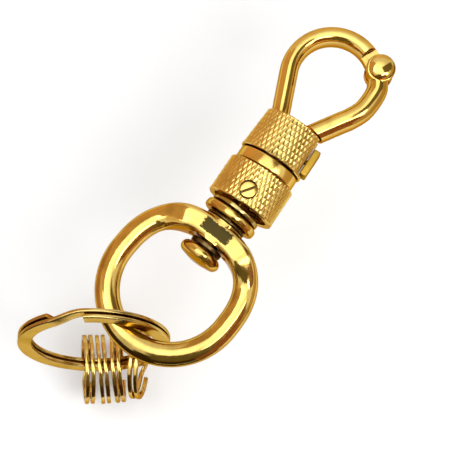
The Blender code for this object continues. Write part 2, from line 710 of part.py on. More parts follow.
def split_ring(name, centre, side, top, outer_radius, width, thickness, jog, steps, material):
    """Two turns of flat wire with one crossover, wound about the axis side x top."""
    normal = side.cross(top).normalized()
    pitch = thickness + SPLIT_GAP
    middle = outer_radius - width / 2
    jog_start, jog_span = jog
    section = wire_section(width, thickness)
    step = 2 * math.pi / steps
    first = jog_start + jog_span + CLEARANCE / middle
    last = jog_start + 4 * math.pi - CLEARANCE / middle
    count = round((last - first) / step)
    rings = []
    for i in range(count + 1):
        angle = first + (last - first) * i / count
        share = blend((angle - jog_start - 2 * math.pi) / jog_span)
        out = math.sin(angle) * side + math.cos(angle) * top
        place = centre + out * middle + normal * (pitch * (0.5 - share))
        rings.append([place + out * a + normal * b for a, b in section])
    half_turn = steps // 2
    gap = min(
        (p - q).length
        for i, near in enumerate(rings) for far in rings[i + half_turn:] for p in near for q in far
    )
    print(f"{name}: least gap between its turns {gap * 1000:.2f} mm")
    return skin(rings, False, name, material)


def key_ring_frame():
    """Point on the bow's bar, and centre, side and top directions of the key ring hung over it."""
    crossing = SWIVEL_PLACE @ bow_point(KEY_RING_BOW_ANGLE)
    side = Vector((math.cos(KEY_RING_TURN), math.sin(KEY_RING_TURN), 0))
    back = UP.cross(side)
    top = math.cos(KEY_RING_LEAN) * UP + math.sin(KEY_RING_LEAN) * back
    drop = KEY_RING_RADIUS - KEY_RING_WIRE_WIDTH - BOW_BAR_RADIUS - CLEARANCE - KEY_RING_SLACK
    centre = crossing + drop * (math.sin(KEY_RING_SWING) * side - math.cos(KEY_RING_SWING) * top)
    return crossing, centre, side, top


def make_key_ring(material):
    crossing, centre, side, top = key_ring_frame()
    jog = (KEY_RING_JOG_START, KEY_RING_JOG_SPAN)
    ring = split_ring(
        "key_ring", centre, side, top, KEY_RING_RADIUS, KEY_RING_WIRE_WIDTH,
        KEY_RING_WIRE_THICKNESS, jog, KEY_RING_STEPS, material,
    )
    put_origin(ring, crossing)
    return ring


def small_ring_frame(number):
    """Pivot on the key ring's wire, and centre, side and top directions of one small ring."""
    crossing, centre, key_side, key_top = key_ring_frame()
    place = SMALL_RING_PLACES[number - 1]
    lean = SMALL_RING_FAN_START + place * SMALL_RING_FAN_SHARE
    out = math.sin(place) * key_side - math.cos(place) * key_top
    pivot = centre + out * (KEY_RING_RADIUS - KEY_RING_WIRE_WIDTH / 2)
    turn = Matrix.Rotation(SMALL_RING_YAWS[number - 1], 3, "Z")
    normal = turn @ (math.cos(lean) * key_side + math.sin(lean) * UP)
    across = UP.cross(normal).normalized()
    swing = Matrix.Rotation(SMALL_RING_SWING, 3, normal)
    side = swing @ across
    top = normal.cross(side)

    key_normal = key_side.cross(key_top)
    along = out.cross(key_normal)
    key_pack = KEY_RING_WIRE_THICKNESS + SPLIT_GAP / 2
    small_pack = SMALL_RING_WIRE_THICKNESS + SPLIT_GAP / 2
    reach = SMALL_RING_RADIUS - SMALL_RING_WIRE_WIDTH - RING_SLACK
    drops = []
    for wide in (-KEY_RING_WIRE_WIDTH / 2, KEY_RING_WIRE_WIDTH / 2):
        for deep in (-key_pack, key_pack):
            for face in (-small_pack, small_pack):
                corner = out * wide + key_normal * deep
                corner += along * ((face - corner.dot(normal)) / along.dot(normal))
                flat = corner - normal * face
                rise = flat.dot(top)
                drops.append(math.sqrt(reach ** 2 - flat.length_squared + rise ** 2) - rise)
    return pivot, pivot - top * min(drops), side, top


def make_small_ring(number, material):
    pivot, centre, side, top = small_ring_frame(number)
    jog = (SMALL_RING_JOG_START, SMALL_RING_JOG_SPAN)
    ring = split_ring(
        f"small_ring_{number}", centre, side, top, SMALL_RING_RADIUS, SMALL_RING_WIRE_WIDTH,
        SMALL_RING_WIRE_THICKNESS, jog, SMALL_RING_STEPS, material,
    )
    put_origin(ring, pivot)
    return ring


def main():
    clear_scene()
    polished = (0.80, 0.55, 0.16)
    warm = (0.72, 0.46, 0.12)
    make_hook_frame(brass("hook_brass", polished, 0.12))
    make_gate(brass("gate_brass", polished, 0.14))
    make_rivet(brass("rivet_brass", polished, 0.18))
    make_sleeve(brass("sleeve_brass", polished, 0.32))
    make_tab(brass("tab_brass", (0.66, 0.42, 0.04), 0.5))
    make_tab_pin(brass("tab_pin_brass", warm, 0.3))
    make_wave_washer(brass("washer_bronze", (0.55, 0.33, 0.12), 0.35))
    make_band(brass("band_brass", polished, 0.2))
    make_collar(brass("collar_brass", polished, 0.32))
    make_screw(brass("screw_brass", polished, 0.25))
    stem = make_stem(brass("stem_brass", warm, 0.18))
    disc = turned(
        "swivel_disc", ring_profile(DISC_RADIUS, DISC_TOP_Y, DISC_THICKNESS),
        ROUND_SIDES, brass("disc_brass", warm, 0.25),
    )
    bead = make_bead(brass("bead_brass", warm, 0.16))
    neck = turned(
        "neck_washer", ring_profile(NECK_WASHER_RADIUS, NECK_TOP_Y, NECK_WASHER_THICKNESS),
        HEAD_SIDES, brass("neck_brass", (0.3, 0.19, 0.07), 0.4),
    )
    washer = turned(
        "button_washer", ring_profile(BUTTON_WASHER_RADIUS, BUTTON_WASHER_TOP_Y, BUTTON_WASHER_THICKNESS),
        SMALL_SIDES, brass("button_washer_brass", (0.35, 0.22, 0.08), 0.35),
    )
    bow = make_bow(brass("bow_brass", warm, 0.15))
    lean_swivel(stem, disc, bead, neck, washer, bow)
    make_key_ring(brass("key_ring_brass", (0.62, 0.45, 0.14), 0.22))
    ring_brass = brass("small_ring_brass", (0.66, 0.46, 0.12), 0.2)
    for number in range(1, len(SMALL_RING_PLACES) + 1):
        make_small_ring(number, ring_brass)


main()
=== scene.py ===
# %% [markdown]
# Brass swivel key clasp.
# This lesson dresses a finished model of a brass key clasp. The model comes in as a fixed frame:
# every CAD node already has its real size and place, and this file gives most of them a finer mesh
# and a finish, while the tab's pin and the wave washer keep their CAD meshes and only take a finish.
# Lengths are in metres. +Y runs along the clasp towards its hook, +X to the gate's side and +Z towards
# the viewer, and the origin is the inside of the hook's curve.

import json
import math

import bmesh
import bpy
from mathutils import Matrix, Vector


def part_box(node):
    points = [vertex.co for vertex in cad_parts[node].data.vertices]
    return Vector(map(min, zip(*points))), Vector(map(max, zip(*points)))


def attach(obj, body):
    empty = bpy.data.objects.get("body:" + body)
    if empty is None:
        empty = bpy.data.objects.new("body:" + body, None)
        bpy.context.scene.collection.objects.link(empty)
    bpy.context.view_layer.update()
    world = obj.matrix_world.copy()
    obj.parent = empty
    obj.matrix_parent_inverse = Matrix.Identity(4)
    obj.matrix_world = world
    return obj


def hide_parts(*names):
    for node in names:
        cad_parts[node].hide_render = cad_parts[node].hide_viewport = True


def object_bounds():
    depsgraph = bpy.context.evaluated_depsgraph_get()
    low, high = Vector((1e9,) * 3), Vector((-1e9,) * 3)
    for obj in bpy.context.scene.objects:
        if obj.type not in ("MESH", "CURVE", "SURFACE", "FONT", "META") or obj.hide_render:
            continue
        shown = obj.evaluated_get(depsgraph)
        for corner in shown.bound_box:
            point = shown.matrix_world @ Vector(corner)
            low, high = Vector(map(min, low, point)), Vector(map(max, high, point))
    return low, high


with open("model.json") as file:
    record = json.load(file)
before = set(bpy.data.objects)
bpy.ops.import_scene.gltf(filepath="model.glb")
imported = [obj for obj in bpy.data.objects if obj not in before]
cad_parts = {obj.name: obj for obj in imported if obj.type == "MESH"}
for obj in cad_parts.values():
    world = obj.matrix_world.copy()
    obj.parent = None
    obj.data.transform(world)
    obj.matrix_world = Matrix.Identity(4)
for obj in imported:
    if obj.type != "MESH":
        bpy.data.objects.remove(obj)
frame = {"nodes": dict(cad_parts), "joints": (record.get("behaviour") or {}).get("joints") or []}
cad_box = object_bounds()

# %% [markdown]
# Units first. The frame is in metres, and a clasp is small, so sizes are written in millimetres
# times MM. The axes get names too, because "along" and "up" read better than triples of numbers.

# %% Units and axes
MM = 0.001
ORIGIN = Vector((0, 0, 0))
ALONG = Vector((0, 1, 0))
UP = Vector((0, 0, 1))

print("clasp box, mm:", [tuple(round(c / MM, 1) for c in corner) for corner in cad_box])

# %% [markdown]
# The camera comes first, since every later choice is judged through it. The photograph looks
# steeply down on the clasp, which points up and to the right. Three turns give the view: a heading,
# a height above the clasp's plane and a roll. The lens is long and stands 0.3 m away, so the
# perspective is gentle.

# %% Camera
PICTURE_PX = 460
CAMERA_HEADING = math.radians(27.37)
CAMERA_HEIGHT = math.radians(79.40)
CAMERA_ROLL = math.radians(6.12)
CAMERA_DISTANCE = 310.7 * MM
CAMERA_FOCAL_PX = 1363
CAMERA_TARGET = Vector((0.96, -50.99, 0)) * MM


def new_object(name, data):
    """Makes an object of a mesh, a lamp or a camera and links it to the scene."""
    obj = bpy.data.objects.new(name, data)
    bpy.context.scene.collection.objects.link(obj)
    return obj


def turned(angle, axis):
    return Matrix.Rotation(angle, 4, axis)


def place_camera():
    data = bpy.data.cameras.new("camera")
    data.sensor_fit = "HORIZONTAL"
    data.angle = 2 * math.atan(PICTURE_PX / 2 / CAMERA_FOCAL_PX)
    data.clip_start = 10 * MM
    camera = new_object("camera", data)
    turn = turned(CAMERA_HEADING, "Z") @ turned(math.pi / 2 - CAMERA_HEIGHT, "X") @ turned(CAMERA_ROLL, "Z")
    camera.matrix_world = Matrix.Translation(CAMERA_TARGET) @ turn @ Matrix.Translation(UP * CAMERA_DISTANCE)
    bpy.context.scene.camera = camera
    return camera


camera = place_camera()
print("camera at, mm:", tuple(round(c / MM) for c in camera.matrix_world.translation))

# %% [markdown]
# Every material, the world and the knurling are trees of nodes, so a few helpers for nodes come
# before them. A socket is filled either with a plain value or with another node's output, and one
# helper does both. That lets a whole chain of nodes be written as nested calls.

# %% Node helpers
def new_tree(owner):
    """Returns the empty node tree of a material or a world."""
    owner.use_nodes = True
    owner.node_tree.nodes.clear()
    return owner.node_tree


def fill(tree, socket, value):
    """Links a socket to another node's output, or types a value into it."""
    if isinstance(value, bpy.types.NodeSocket):
        tree.links.new(value, socket)
    else:
        socket.default_value = value


def add_node(tree, kind, **sockets):
    """Adds a shader or geometry node and fills the sockets that are given by name."""
    node = tree.nodes.new(kind)
    for name, value in sockets.items():
        fill(tree, node.inputs[name.replace("_", " ")], value)
    return node


def math_node(tree, operation, *values, kind="ShaderNodeMath"):
    """The result of a Math node, or a Vector Math one, whose sockets are filled in order."""
    node = tree.nodes.new(kind)
    node.operation = operation
    for socket, value in zip(node.inputs, values):
        fill(tree, socket, value)
    return node.outputs[0]


def largest(tree, value, *others):
    """The largest of several values."""
    for other in others:
        value = math_node(tree, "MAXIMUM", value, other)
    return value


def eye_or_mirror(tree):
    """A factor that is 1 for camera, mirror and glass rays, and 0 for soft light."""
    rays = add_node(tree, "ShaderNodeLightPath").outputs
    return largest(tree, rays["Is Camera Ray"], rays["Is Glossy Ray"], rays["Is Transmission Ray"])


print("node helpers ready")

# %% [markdown]
# The stage is one pale floor just under the lowest ring, a plain sheet with a matte paint. The same
# sheet, painted otherwise, makes the studio's cards further down.

# %% Floor
FLOOR_DROP = 1.2 * MM
FLOOR_SIZE = 3000 * MM
FLOOR_COLOUR = (0.86, 0.86, 0.86, 1)


def mesh_object(name, bm):
    """Turns a bmesh into a linked object."""
    mesh = bpy.data.meshes.new(name)
    bm.to_mesh(mesh)
    bm.free()
    return new_object(name, mesh)


def flat_sheet(name, paint_name, place, width, height):
    """A flat sheet placed by a matrix; returns it with the empty node tree of its paint."""
    bm = bmesh.new()
    sized = place @ Matrix.Diagonal((width, height, 1, 1))
    bmesh.ops.create_grid(bm, x_segments=1, y_segments=1, size=0.5, matrix=sized)
    sheet = mesh_object(name, bm)
    paint = bpy.data.materials.new(paint_name)
    sheet.data.materials.append(paint)
    return sheet, new_tree(paint)


def lay_floor():
    place = Matrix.Translation((0, CAMERA_TARGET.y, cad_box[0].z - FLOOR_DROP))
    floor, tree = flat_sheet("floor", "floor_paper", place, FLOOR_SIZE, FLOOR_SIZE)
    paper = add_node(tree, "ShaderNodeBsdfDiffuse", Color=FLOOR_COLOUR)
    add_node(tree, "ShaderNodeOutputMaterial", Surface=paper.outputs[0])


lay_floor()
print("floor height, mm:", round((cad_box[0].z - FLOOR_DROP) / MM, 1))

# %% [markdown]
# The light is a studio's: a soft box to the right, a weaker one to the left and an even world around.
# For the camera's rays and a mirror's the world is plain white, so the background is white without
# any more light on the clasp. A lamp is placed by how far it leans away from the camera and at which
# clock angle of the picture, in degrees from its top.

# %% World and lamps
WORLD_STRENGTH = 0.85
KEY_POWER = 0.75
FILL_POWER = 0.4


def light_world():
    world = bpy.data.worlds.new("soft_world")
    bpy.context.scene.world = world
    tree = new_tree(world)
    soft = add_node(tree, "ShaderNodeBackground", Color=(1, 1, 1, 1), Strength=WORLD_STRENGTH)
    white = add_node(tree, "ShaderNodeBackground", Color=(1, 1, 1, 1), Strength=1)
    choose = add_node(tree, "ShaderNodeMixShader", Fac=eye_or_mirror(tree))
    tree.links.new(soft.outputs[0], choose.inputs[1])
    tree.links.new(white.outputs[0], choose.inputs[2])
    add_node(tree, "ShaderNodeOutputWorld", Surface=choose.outputs[0])


def seen_from(centre, clock, lean, distance):
    """A matrix that faces centre: its Z axis leans away from the camera towards a clock angle."""
    view = camera.matrix_world.to_3x3().to_4x4()
    turn = turned(-math.radians(clock), "Z") @ turned(-math.radians(lean), "X")
    return Matrix.Translation(centre) @ view @ turn @ Matrix.Translation(UP * distance)


def soft_box(name, clock, lean, distance, size, power):
    data = bpy.data.lights.new(name, "AREA")
    data.shape = "DISK"
    data.size = size
    data.energy = power
    new_object(name, data).matrix_world = seen_from(CAMERA_TARGET, clock, lean, distance)


light_world()
soft_box("key_light", 118, 33, 380 * MM, 240 * MM, KEY_POWER)
soft_box("fill_light", 300, 30, 420 * MM, 300 * MM, FILL_POWER)

# %% [markdown]
# Polished brass has no look of its own: it shows what stands round it. In the photograph its top
# faces are bright, its left flanks tan, its right ones brown and its undersides nearly black. A
# studio gets such tones from cards, and so does this cell. Only mirror rays see the cards, so they
# cast no shadow and light nothing. They are placed like the lamps, round the clasp or its hook, and
# a table holds them, because only their numbers differ.

# %% Cards
HOOK_MIDDLE = Vector((1, -8, 0)) * MM
BRIGHT = (0.94, 0.98, 1.0)
TAN = (0.90, 0.70, 0.46)
WARM_TAN = (0.66, 0.42, 0.20)
RUST = (0.76, 0.44, 0.22)
AMBER = (0.54, 0.28, 0.15)
BROWN = (0.60, 0.42, 0.20)
DARK_RUST = (0.36, 0.14, 0.07)
DEEP_RUST = (0.26, 0.09, 0.03)
OLIVE = (0.20, 0.16, 0.07)
DARK = (0.05, 0.03, 0.01)
# Each row: name, clock angle, lean, distance, width and height in mm, colour, glow, hot middle.
CLASP_CARDS = (
    ("bright_card", 340, 15, 420, 640, 580, BRIGHT, 1.15, 1.9),
    ("dark_card_front", 180, 27, 260, 90, 150, DARK, 2),
    ("dark_card_bottom", 185, 80, 160, 210, 240, DARK),
    ("dark_card_low", 190, 112, 82, 130, 60, DARK),
    ("dark_card_low_left", 228, 97, 100, 110, 110, DARK),
    ("amber_card_left", 265, 100, 100, 150, 110, AMBER),
    ("tan_card_left", 285, 62, 200, 260, 130, TAN),
    ("rust_card_top_left", 320, 98, 120, 170, 120, RUST),
    ("tan_card_top", 5, 100, 110, 170, 100, TAN),
    ("brown_card_right", 93, 98, 110, 150, 120, BROWN),
    ("rust_card_low_right", 140, 88, 150, 150, 220, DARK_RUST),
)
HOOK_CARDS = (
    ("olive_card_hook", 185, 50, 170, 130, 120, OLIVE, 0.8),
    ("olive_card_right", 66, 46, 150, 84, 160, OLIVE),
    ("tan_card_hook", 300, 55, 150, 150, 120, WARM_TAN),
    ("dark_card_gate", 147, 47, 140, 76, 84, DEEP_RUST),
)


def card(centre, name, clock, lean, distance, width, height, colour, glow=1, hot=0):
    """A card that faces centre, seen by mirror rays only; hot adds light towards its middle."""
    place = seen_from(centre, clock, lean, distance * MM)
    obj, tree = flat_sheet(name, name + "_paint", place, width * MM, height * MM)
    light = add_node(tree, "ShaderNodeEmission", Color=(*colour, 1), Strength=glow)
    if hot:
        where = add_node(tree, "ShaderNodeTexCoord").outputs["Object"]
        reach = (width * MM / 2,) * 3
        spread = add_node(tree, "ShaderNodeMapping", Vector=where, Location=place.translation, Scale=reach)
        spread.vector_type = "TEXTURE"
        spot = add_node(tree, "ShaderNodeTexGradient", Vector=spread.outputs["Vector"])
        spot.gradient_type = "SPHERICAL"
        fill(tree, light.inputs["Strength"], math_node(tree, "MULTIPLY_ADD", spot.outputs["Fac"], hot, glow))
    add_node(tree, "ShaderNodeOutputMaterial", Surface=light.outputs[0])
    obj.visible_camera = False
    obj.visible_diffuse = False
    obj.visible_shadow = False
    obj.visible_transmission = False


for centre, cards in ((CAMERA_TARGET, CLASP_CARDS), (HOOK_MIDDLE, HOOK_CARDS)):
    for row in cards:
        card(centre, *row)
bpy.context.scene.view_settings.view_transform = "Standard"

# %% [markdown]
# Two ways of making a mesh cover nearly every piece. Turned pieces, such as washers and the screw,
# come off a lathe: a closed profile is spun about an axis. Bars and wires are swept: a section is
# carried along a path and its rings are joined. Real edges are never knife sharp, so a profile's
# corners are rounded first, and the small radius catches a thin line of light.

# %% Lathe and sweep
TURN_STEPS = 192
SMALL_TURN_STEPS = 96
CORNER_STEPS = 4
SHARP_ANGLE = math.radians(40)
STRAIGHT_ANGLE = math.radians(165)
ON_AXIS = 0.01 * MM


def smooth(mesh):
    """Shades a mesh smooth, with its real corners kept sharp."""
    mesh.shade_smooth()
    mesh.set_sharp_from_angle(angle=SHARP_ANGLE)


def piece_from(name, bm):
    """Turns a bmesh into a smooth linked object whose faces point outwards."""
    bmesh.ops.recalc_face_normals(bm, faces=bm.faces)
    obj = mesh_object(name, bm)
    smooth(obj.data)
    return obj


def rounded(points, radius):
    """Rounds each corner of a closed outline of (distance, height) points with a small arc."""
    outline = []
    for i, point in enumerate(points):
        corner = Vector(point)
        before = Vector(points[i - 1]) - corner
        after = Vector(points[(i + 1) % len(points)]) - corner
        if corner.x < ON_AXIS or before.angle(after) > STRAIGHT_ANGLE:
            outline.append(corner)
            continue
        reach = min(radius, 0.4 * before.length, 0.4 * after.length)
        start = corner + before.normalized() * reach
        end = corner + after.normalized() * reach
        for k in range(CORNER_STEPS + 1):
            t = k / CORNER_STEPS
            outline.append(start.lerp(corner, t).lerp(corner.lerp(end, t), t))
    return outline


def tube(inner, outer, low, high):
    """The profile of a plain tube, or of a plain rod where inner is 0."""
    return [(inner, low), (outer, low), (outer, high), (inner, high)]


def arc(radius, height, wide, high, first, last, steps):
    """Part of a profile: an ellipse's arc about (radius, height), from angle first to last."""
    angles = [first + (last - first) * i / steps for i in range(steps + 1)]
    return [(radius + wide * math.cos(angle), height + high * math.sin(angle)) for angle in angles]


def lathe(name, profile, centre=ORIGIN, axis=ALONG, steps=TURN_STEPS):
    """Spins a closed (radius, height) profile about an axis through centre."""
    side = axis.orthogonal().normalized()
    front = axis.cross(side)
    turns = [2 * math.pi * i / steps for i in range(steps)]
    spokes = [math.cos(t) * side + math.sin(t) * front for t in turns]
    bm = bmesh.new()
    rows = []
    for radius, height in profile:
        around = spokes if radius > ON_AXIS else spokes[:1]
        rows.append([bm.verts.new(centre + axis * height + radius * spoke) for spoke in around])
    pairs = list(zip(rows, rows[1:]))
    if len(rows[0]) > 1:
        pairs.append((rows[-1], rows[0]))
    for near, far in pairs:
        for i in range(steps):
            j = (i + 1) % steps
            corners = [near[i % len(near)], near[j % len(near)], far[j % len(far)], far[i % len(far)]]
            bm.faces.new(list(dict.fromkeys(corners)))
    return piece_from(name, bm)


def sweep(name, rings, closed=False):
    """Joins equal rings of points into a tube, with a flat cap at each open end."""
    bm = bmesh.new()
    rows = [[bm.verts.new(point) for point in ring] for ring in rings]
    pairs = list(zip(rows, rows[1:]))
    if closed:
        pairs.append((rows[-1], rows[0]))
    for near, far in pairs:
        for i in range(len(near)):
            j = (i + 1) % len(near)
            bm.faces.new((near[i], near[j], far[j], far[i]))
    if not closed:
        bm.faces.new(rows[0])
        bm.faces.new(rows[-1])
    return piece_from(name, bm)


print("a full turn has", TURN_STEPS, "steps, a small one", SMALL_TURN_STEPS)

# %% [markdown]
# A brass worker also mills and drills, and a Boolean does the same to a mesh: it takes away or joins
# on the form of a tool. The tools are round rods and square blocks, which run a little past what they
# cut, so that no thin film is left. Baking turns the queue of cuts into a plain mesh.

# %% Cutting tools
OVERRUN = 1 * MM


def boolean(target, tool, operation):
    """Queues a join or a cut on target, done by bake()."""
    modifier = target.modifiers.new(tool.name, "BOOLEAN")
    modifier.operation = operation
    modifier.solver = "EXACT"
    modifier.object = tool
    tool.hide_render = True


def bake(obj):
    """Makes an object's modifiers part of its mesh and removes their tools."""
    tools = [modifier.object for modifier in obj.modifiers if modifier.type == "BOOLEAN"]
    bpy.context.view_layer.update()
    graph = bpy.context.evaluated_depsgraph_get()
    mesh = bpy.data.meshes.new_from_object(obj.evaluated_get(graph))
    mesh.name = obj.name
    obj.modifiers.clear()
    obj.data = mesh
    for tool in tools:
        bpy.data.objects.remove(tool, do_unlink=True)
    smooth(mesh)
    return obj


def settle(obj, place):
    """Moves a piece by a matrix and leaves the place in its mesh."""
    obj.data.transform(place)
    return obj


def rod(name, radius, start, end, steps=SMALL_TURN_STEPS):
    """A plain round tool or pin from start to end."""
    profile = tube(0, radius, 0, (end - start).length)
    return lathe(name, profile, start, (end - start).normalized(), steps)


def block(name, low, high):
    """A plain rectangular tool between two corners."""
    bm = bmesh.new()
    size = Vector(high) - Vector(low)
    place = Matrix.Translation((Vector(low) + Vector(high)) / 2) @ Matrix.Diagonal((*size, 1))
    bmesh.ops.create_cube(bm, size=1, matrix=place)
    return piece_from(name, bm)


print("cutting tools run past by, mm:", OVERRUN / MM)

# %% [markdown]
# Worn brass has specks, patches, hairline scratches and slow waves from polishing. These patterns are
# noise of different sizes. They read Object coordinates, so they stay on the piece when it moves.

# %% Patterns of a finish
RAGGED_SIZE = 0.5 * MM


def mix_colours(tree, factor, first, second):
    mix = add_node(tree, "ShaderNodeMix")
    mix.data_type = "RGBA"
    for name, value in (("Factor", factor), ("A", first), ("B", second)):
        fill(tree, mix.inputs[name], value)
    return mix.outputs["Result"]


def remap(tree, value, low, high, out_low, out_high):
    """Stretches a value from one range to another and holds it there."""
    ranges = {"From_Min": low, "From_Max": high, "To_Min": out_low, "To_Max": out_high}
    return add_node(tree, "ShaderNodeMapRange", Value=value, **ranges).outputs["Result"]


def noise(tree, where, size, detail=3.0):
    """Cloudy noise whose features are about size metres across."""
    return add_node(tree, "ShaderNodeTexNoise", Vector=where, Scale=1 / size, Detail=detail).outputs["Fac"]


def spot_mask(tree, factor, place, half_size):
    """Adds a box to the dark colour's factor: inside it, with ragged edges, the dark colour is nearly full.
    """
    where = add_node(tree, "ShaderNodeTexCoord").outputs["Object"]
    box = {"Location": place.translation, "Rotation": place.to_euler(), "Scale": half_size}
    local = add_node(tree, "ShaderNodeMapping", Vector=where, **box)
    local.vector_type = "TEXTURE"
    apart = math_node(tree, "ABSOLUTE", local.outputs["Vector"], kind="ShaderNodeVectorMath")
    axes = add_node(tree, "ShaderNodeSeparateXYZ", Vector=apart).outputs
    far = largest(tree, axes["X"], axes["Y"], axes["Z"])
    ragged = remap(tree, noise(tree, where, RAGGED_SIZE), 0.3, 0.7, -0.12, 0.12)
    return largest(tree, factor, remap(tree, math_node(tree, "ADD", far, ragged), 0.9, 1.0, 0.98, 0.0))


print("ragged edges have features of, mm:", RAGGED_SIZE / MM)

# %% [markdown]
# Every visible piece is brass, but no two finishes are the same: the hook is polished, the knurled
# sleeves are satin on their crests and carry painted shade in their grooves, the thumb tab is matte.
# One function builds them all. It blends a clean colour with a browner patina in patches and specks,
# and with the same dark colour as painted shade in hollows, gaps between parts and a groove; inside a
# dark spot it is darker too. Flanks may turn redder, a painted reflection of warm surroundings on faces
# turned sideways, and a tinted edge keeps steep angles from going white.

# %% Brass finish
EDGE = (0.62, 0.40, 0.20, 1)
FLANK_REFLECTION = (0.46, 0.20, 0.05, 1)
PAINTED_SHADE_REACH = 1.2 * MM
PATCH_SIZE = 5 * MM
SPECK_SIZE = 0.45 * MM
FINE_SIZE = 0.8 * MM
HAIRLINE_SIZE = 0.12 * MM
HAIRLINE_STRETCH = {"Rotation": (0.3, 0.2, 0.5), "Scale": (1.0, 0.12, 1.0)}
WAVE_SIZE = 2.2 * MM
WAVE_SHARE = 4.0
BUMP_HEIGHT = 0.05 * MM
WORN_EDGE = 0.12 * MM
brass = {}


def patina_and_shade_tone(tree, where, clean, patina_and_shade, speckle, groove, flank_reflection, dark_spot):
    """The colour of the brass: clean, with patina in patches and specks, darker inside a dark spot, painted
    shade in hollows and grooves and a painted reflection on the flanks.
    """
    # Painted shade: the AO node finds hollows and gaps between parts, and there the colour is pulled towards
    # the dark patina colour.
    shade_probe = add_node(tree, "ShaderNodeAmbientOcclusion", Distance=PAINTED_SHADE_REACH)
    shade_probe.samples = 8
    hidden = remap(tree, shade_probe.outputs["AO"], 0.25, 0.95, 0.85, 0.0)
    patches = remap(tree, noise(tree, where, PATCH_SIZE), 0.42, 0.72, 0.0, 0.4)
    specks = remap(tree, noise(tree, where, SPECK_SIZE, 5.0), 0.60, 0.78, 0.0, speckle)
    factor = largest(tree, patches, specks, hidden)
    # Painted shade in the knurl's grooves and in bores: the groove attribute pulls the colour towards the
    # dark one.
    if groove:
        cut = add_node(tree, "ShaderNodeAttribute")
        cut.attribute_name = groove
        factor = largest(tree, factor, remap(tree, cut.outputs["Fac"], 0.6, 1.0, 0.0, 0.6))
    if dark_spot:
        factor = spot_mask(tree, factor, *dark_spot)
    tone = mix_colours(tree, factor, (*clean, 1), (*patina_and_shade, 1))
    # Painted reflection: faces turned sideways to +Z take the reddish flank colour, which stands in for warm
    # surroundings seen in the brass.
    if flank_reflection:
        normal = add_node(tree, "ShaderNodeTexCoord").outputs["Normal"]
        facing = add_node(tree, "ShaderNodeSeparateXYZ", Vector=normal).outputs["Z"]
        level = math_node(tree, "ABSOLUTE", facing)
        tone = mix_colours(tree, remap(tree, level, 0.05, 0.55, flank_reflection, 0.0), tone, FLANK_REFLECTION)
    return tone


def brass_finish(name, clean, patina_and_shade, roughness, spread, scratch=0.05, flank_reflection=0.0, soften=WORN_EDGE,
                 speckle=0.35, groove=None, dark_spot=None):
    """Adds a finish to the shelf of brass, where the pieces find it by its name."""
    material = bpy.data.materials.new(name)
    tree = new_tree(material)
    where = add_node(tree, "ShaderNodeTexCoord").outputs["Object"]
    tone = patina_and_shade_tone(tree, where, clean, patina_and_shade, speckle, groove, flank_reflection, dark_spot)
    fine = noise(tree, where, FINE_SIZE, 4.0)
    rough = remap(tree, fine, 0.3, 0.7, roughness - spread, roughness + spread)
    stretched = add_node(tree, "ShaderNodeMapping", Vector=where, **HAIRLINE_STRETCH).outputs["Vector"]
    hairlines = noise(tree, stretched, HAIRLINE_SIZE, 2.0)
    height = math_node(tree, "MULTIPLY_ADD", noise(tree, where, WAVE_SIZE, 1.0), WAVE_SHARE, hairlines)
    edge = add_node(tree, "ShaderNodeBevel", Radius=soften)
    edge.samples = 6
    bump = add_node(tree, "ShaderNodeBump", Strength=scratch, Distance=BUMP_HEIGHT, Height=height,
                    Normal=edge.outputs["Normal"])
    metal = add_node(tree, "ShaderNodeBsdfPrincipled", Metallic=1.0, Specular_Tint=EDGE, Base_Color=tone,
                     Roughness=rough, Normal=bump.outputs["Normal"])
    add_node(tree, "ShaderNodeOutputMaterial", Surface=metal.outputs[0])
    brass[name] = material


print("edge tint:", EDGE[:3], "flank tint:", FLANK_REFLECTION[:3])

# %% [markdown]
# Here are the finishes. The washers and the disc are the darkest: their colour is painted shade, as
# the gaps of the swivel stack where they sit are dark. The knurled brass is lightest on its crests,
# with painted shade in its grooves. The screw's and the bow's, with dark spots of their own, are made
# with their pieces.

# %% Finishes
GOLD = (0.76, 0.52, 0.14)
DEEP_GOLD = (0.72, 0.49, 0.13)
# Each row: name, clean colour, patina and painted shade colour, roughness and its spread, scratches, painted
# flank reflection.
FINISHES = (
    ("polished_brass", GOLD, (0.30, 0.15, 0.03), 0.09, 0.03, 0.05, 0.75),
    ("swivel_brass", DEEP_GOLD, (0.26, 0.17, 0.035), 0.11, 0.04, 0.08, 0.5),
    ("disc_brass", (0.46, 0.36, 0.13), (0.10, 0.07, 0.02), 0.14, 0.04, 0.08, 0.4),
    ("shade_dark_brass", (0.15, 0.10, 0.04), (0.04, 0.025, 0.008), 0.3, 0.08, 0.15),
    ("matte_tab_brass", (0.48, 0.30, 0.04), (0.30, 0.17, 0.02), 0.5, 0.06, 0.2),
    ("band_brass", GOLD, (0.50, 0.24, 0.06), 0.17, 0.04, 0.06),
    ("ring_brass", (0.66, 0.47, 0.16), (0.28, 0.18, 0.05), 0.17, 0.05, 0.1),
    ("small_ring_brass", (0.74, 0.51, 0.15), (0.24, 0.13, 0.03), 0.12, 0.04, 0.05, 0.5),
)
for row in FINISHES:
    brass_finish(*row)
# The knurled finish carries painted shade in its grooves, read from the groove attribute.
brass_finish("knurled_brass", (0.88, 0.63, 0.19), (0.17, 0.085, 0.015), 0.17, 0.05, 0.08,
             soften=0.03 * MM, groove="groove")


def repaint(obj, finish):
    """Makes a finish the only one of a piece."""
    obj.data.materials.clear()
    obj.data.materials.append(brass[finish])


def dress(obj, finish, body, node):
    """Gives a piece its finish and its body, and hides the CAD node that it stands for."""
    repaint(obj, finish)
    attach(obj, body)
    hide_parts(node)
    print(node, "rides on", body, "with", len(obj.data.polygons), "faces")


print("finishes:", list(brass))

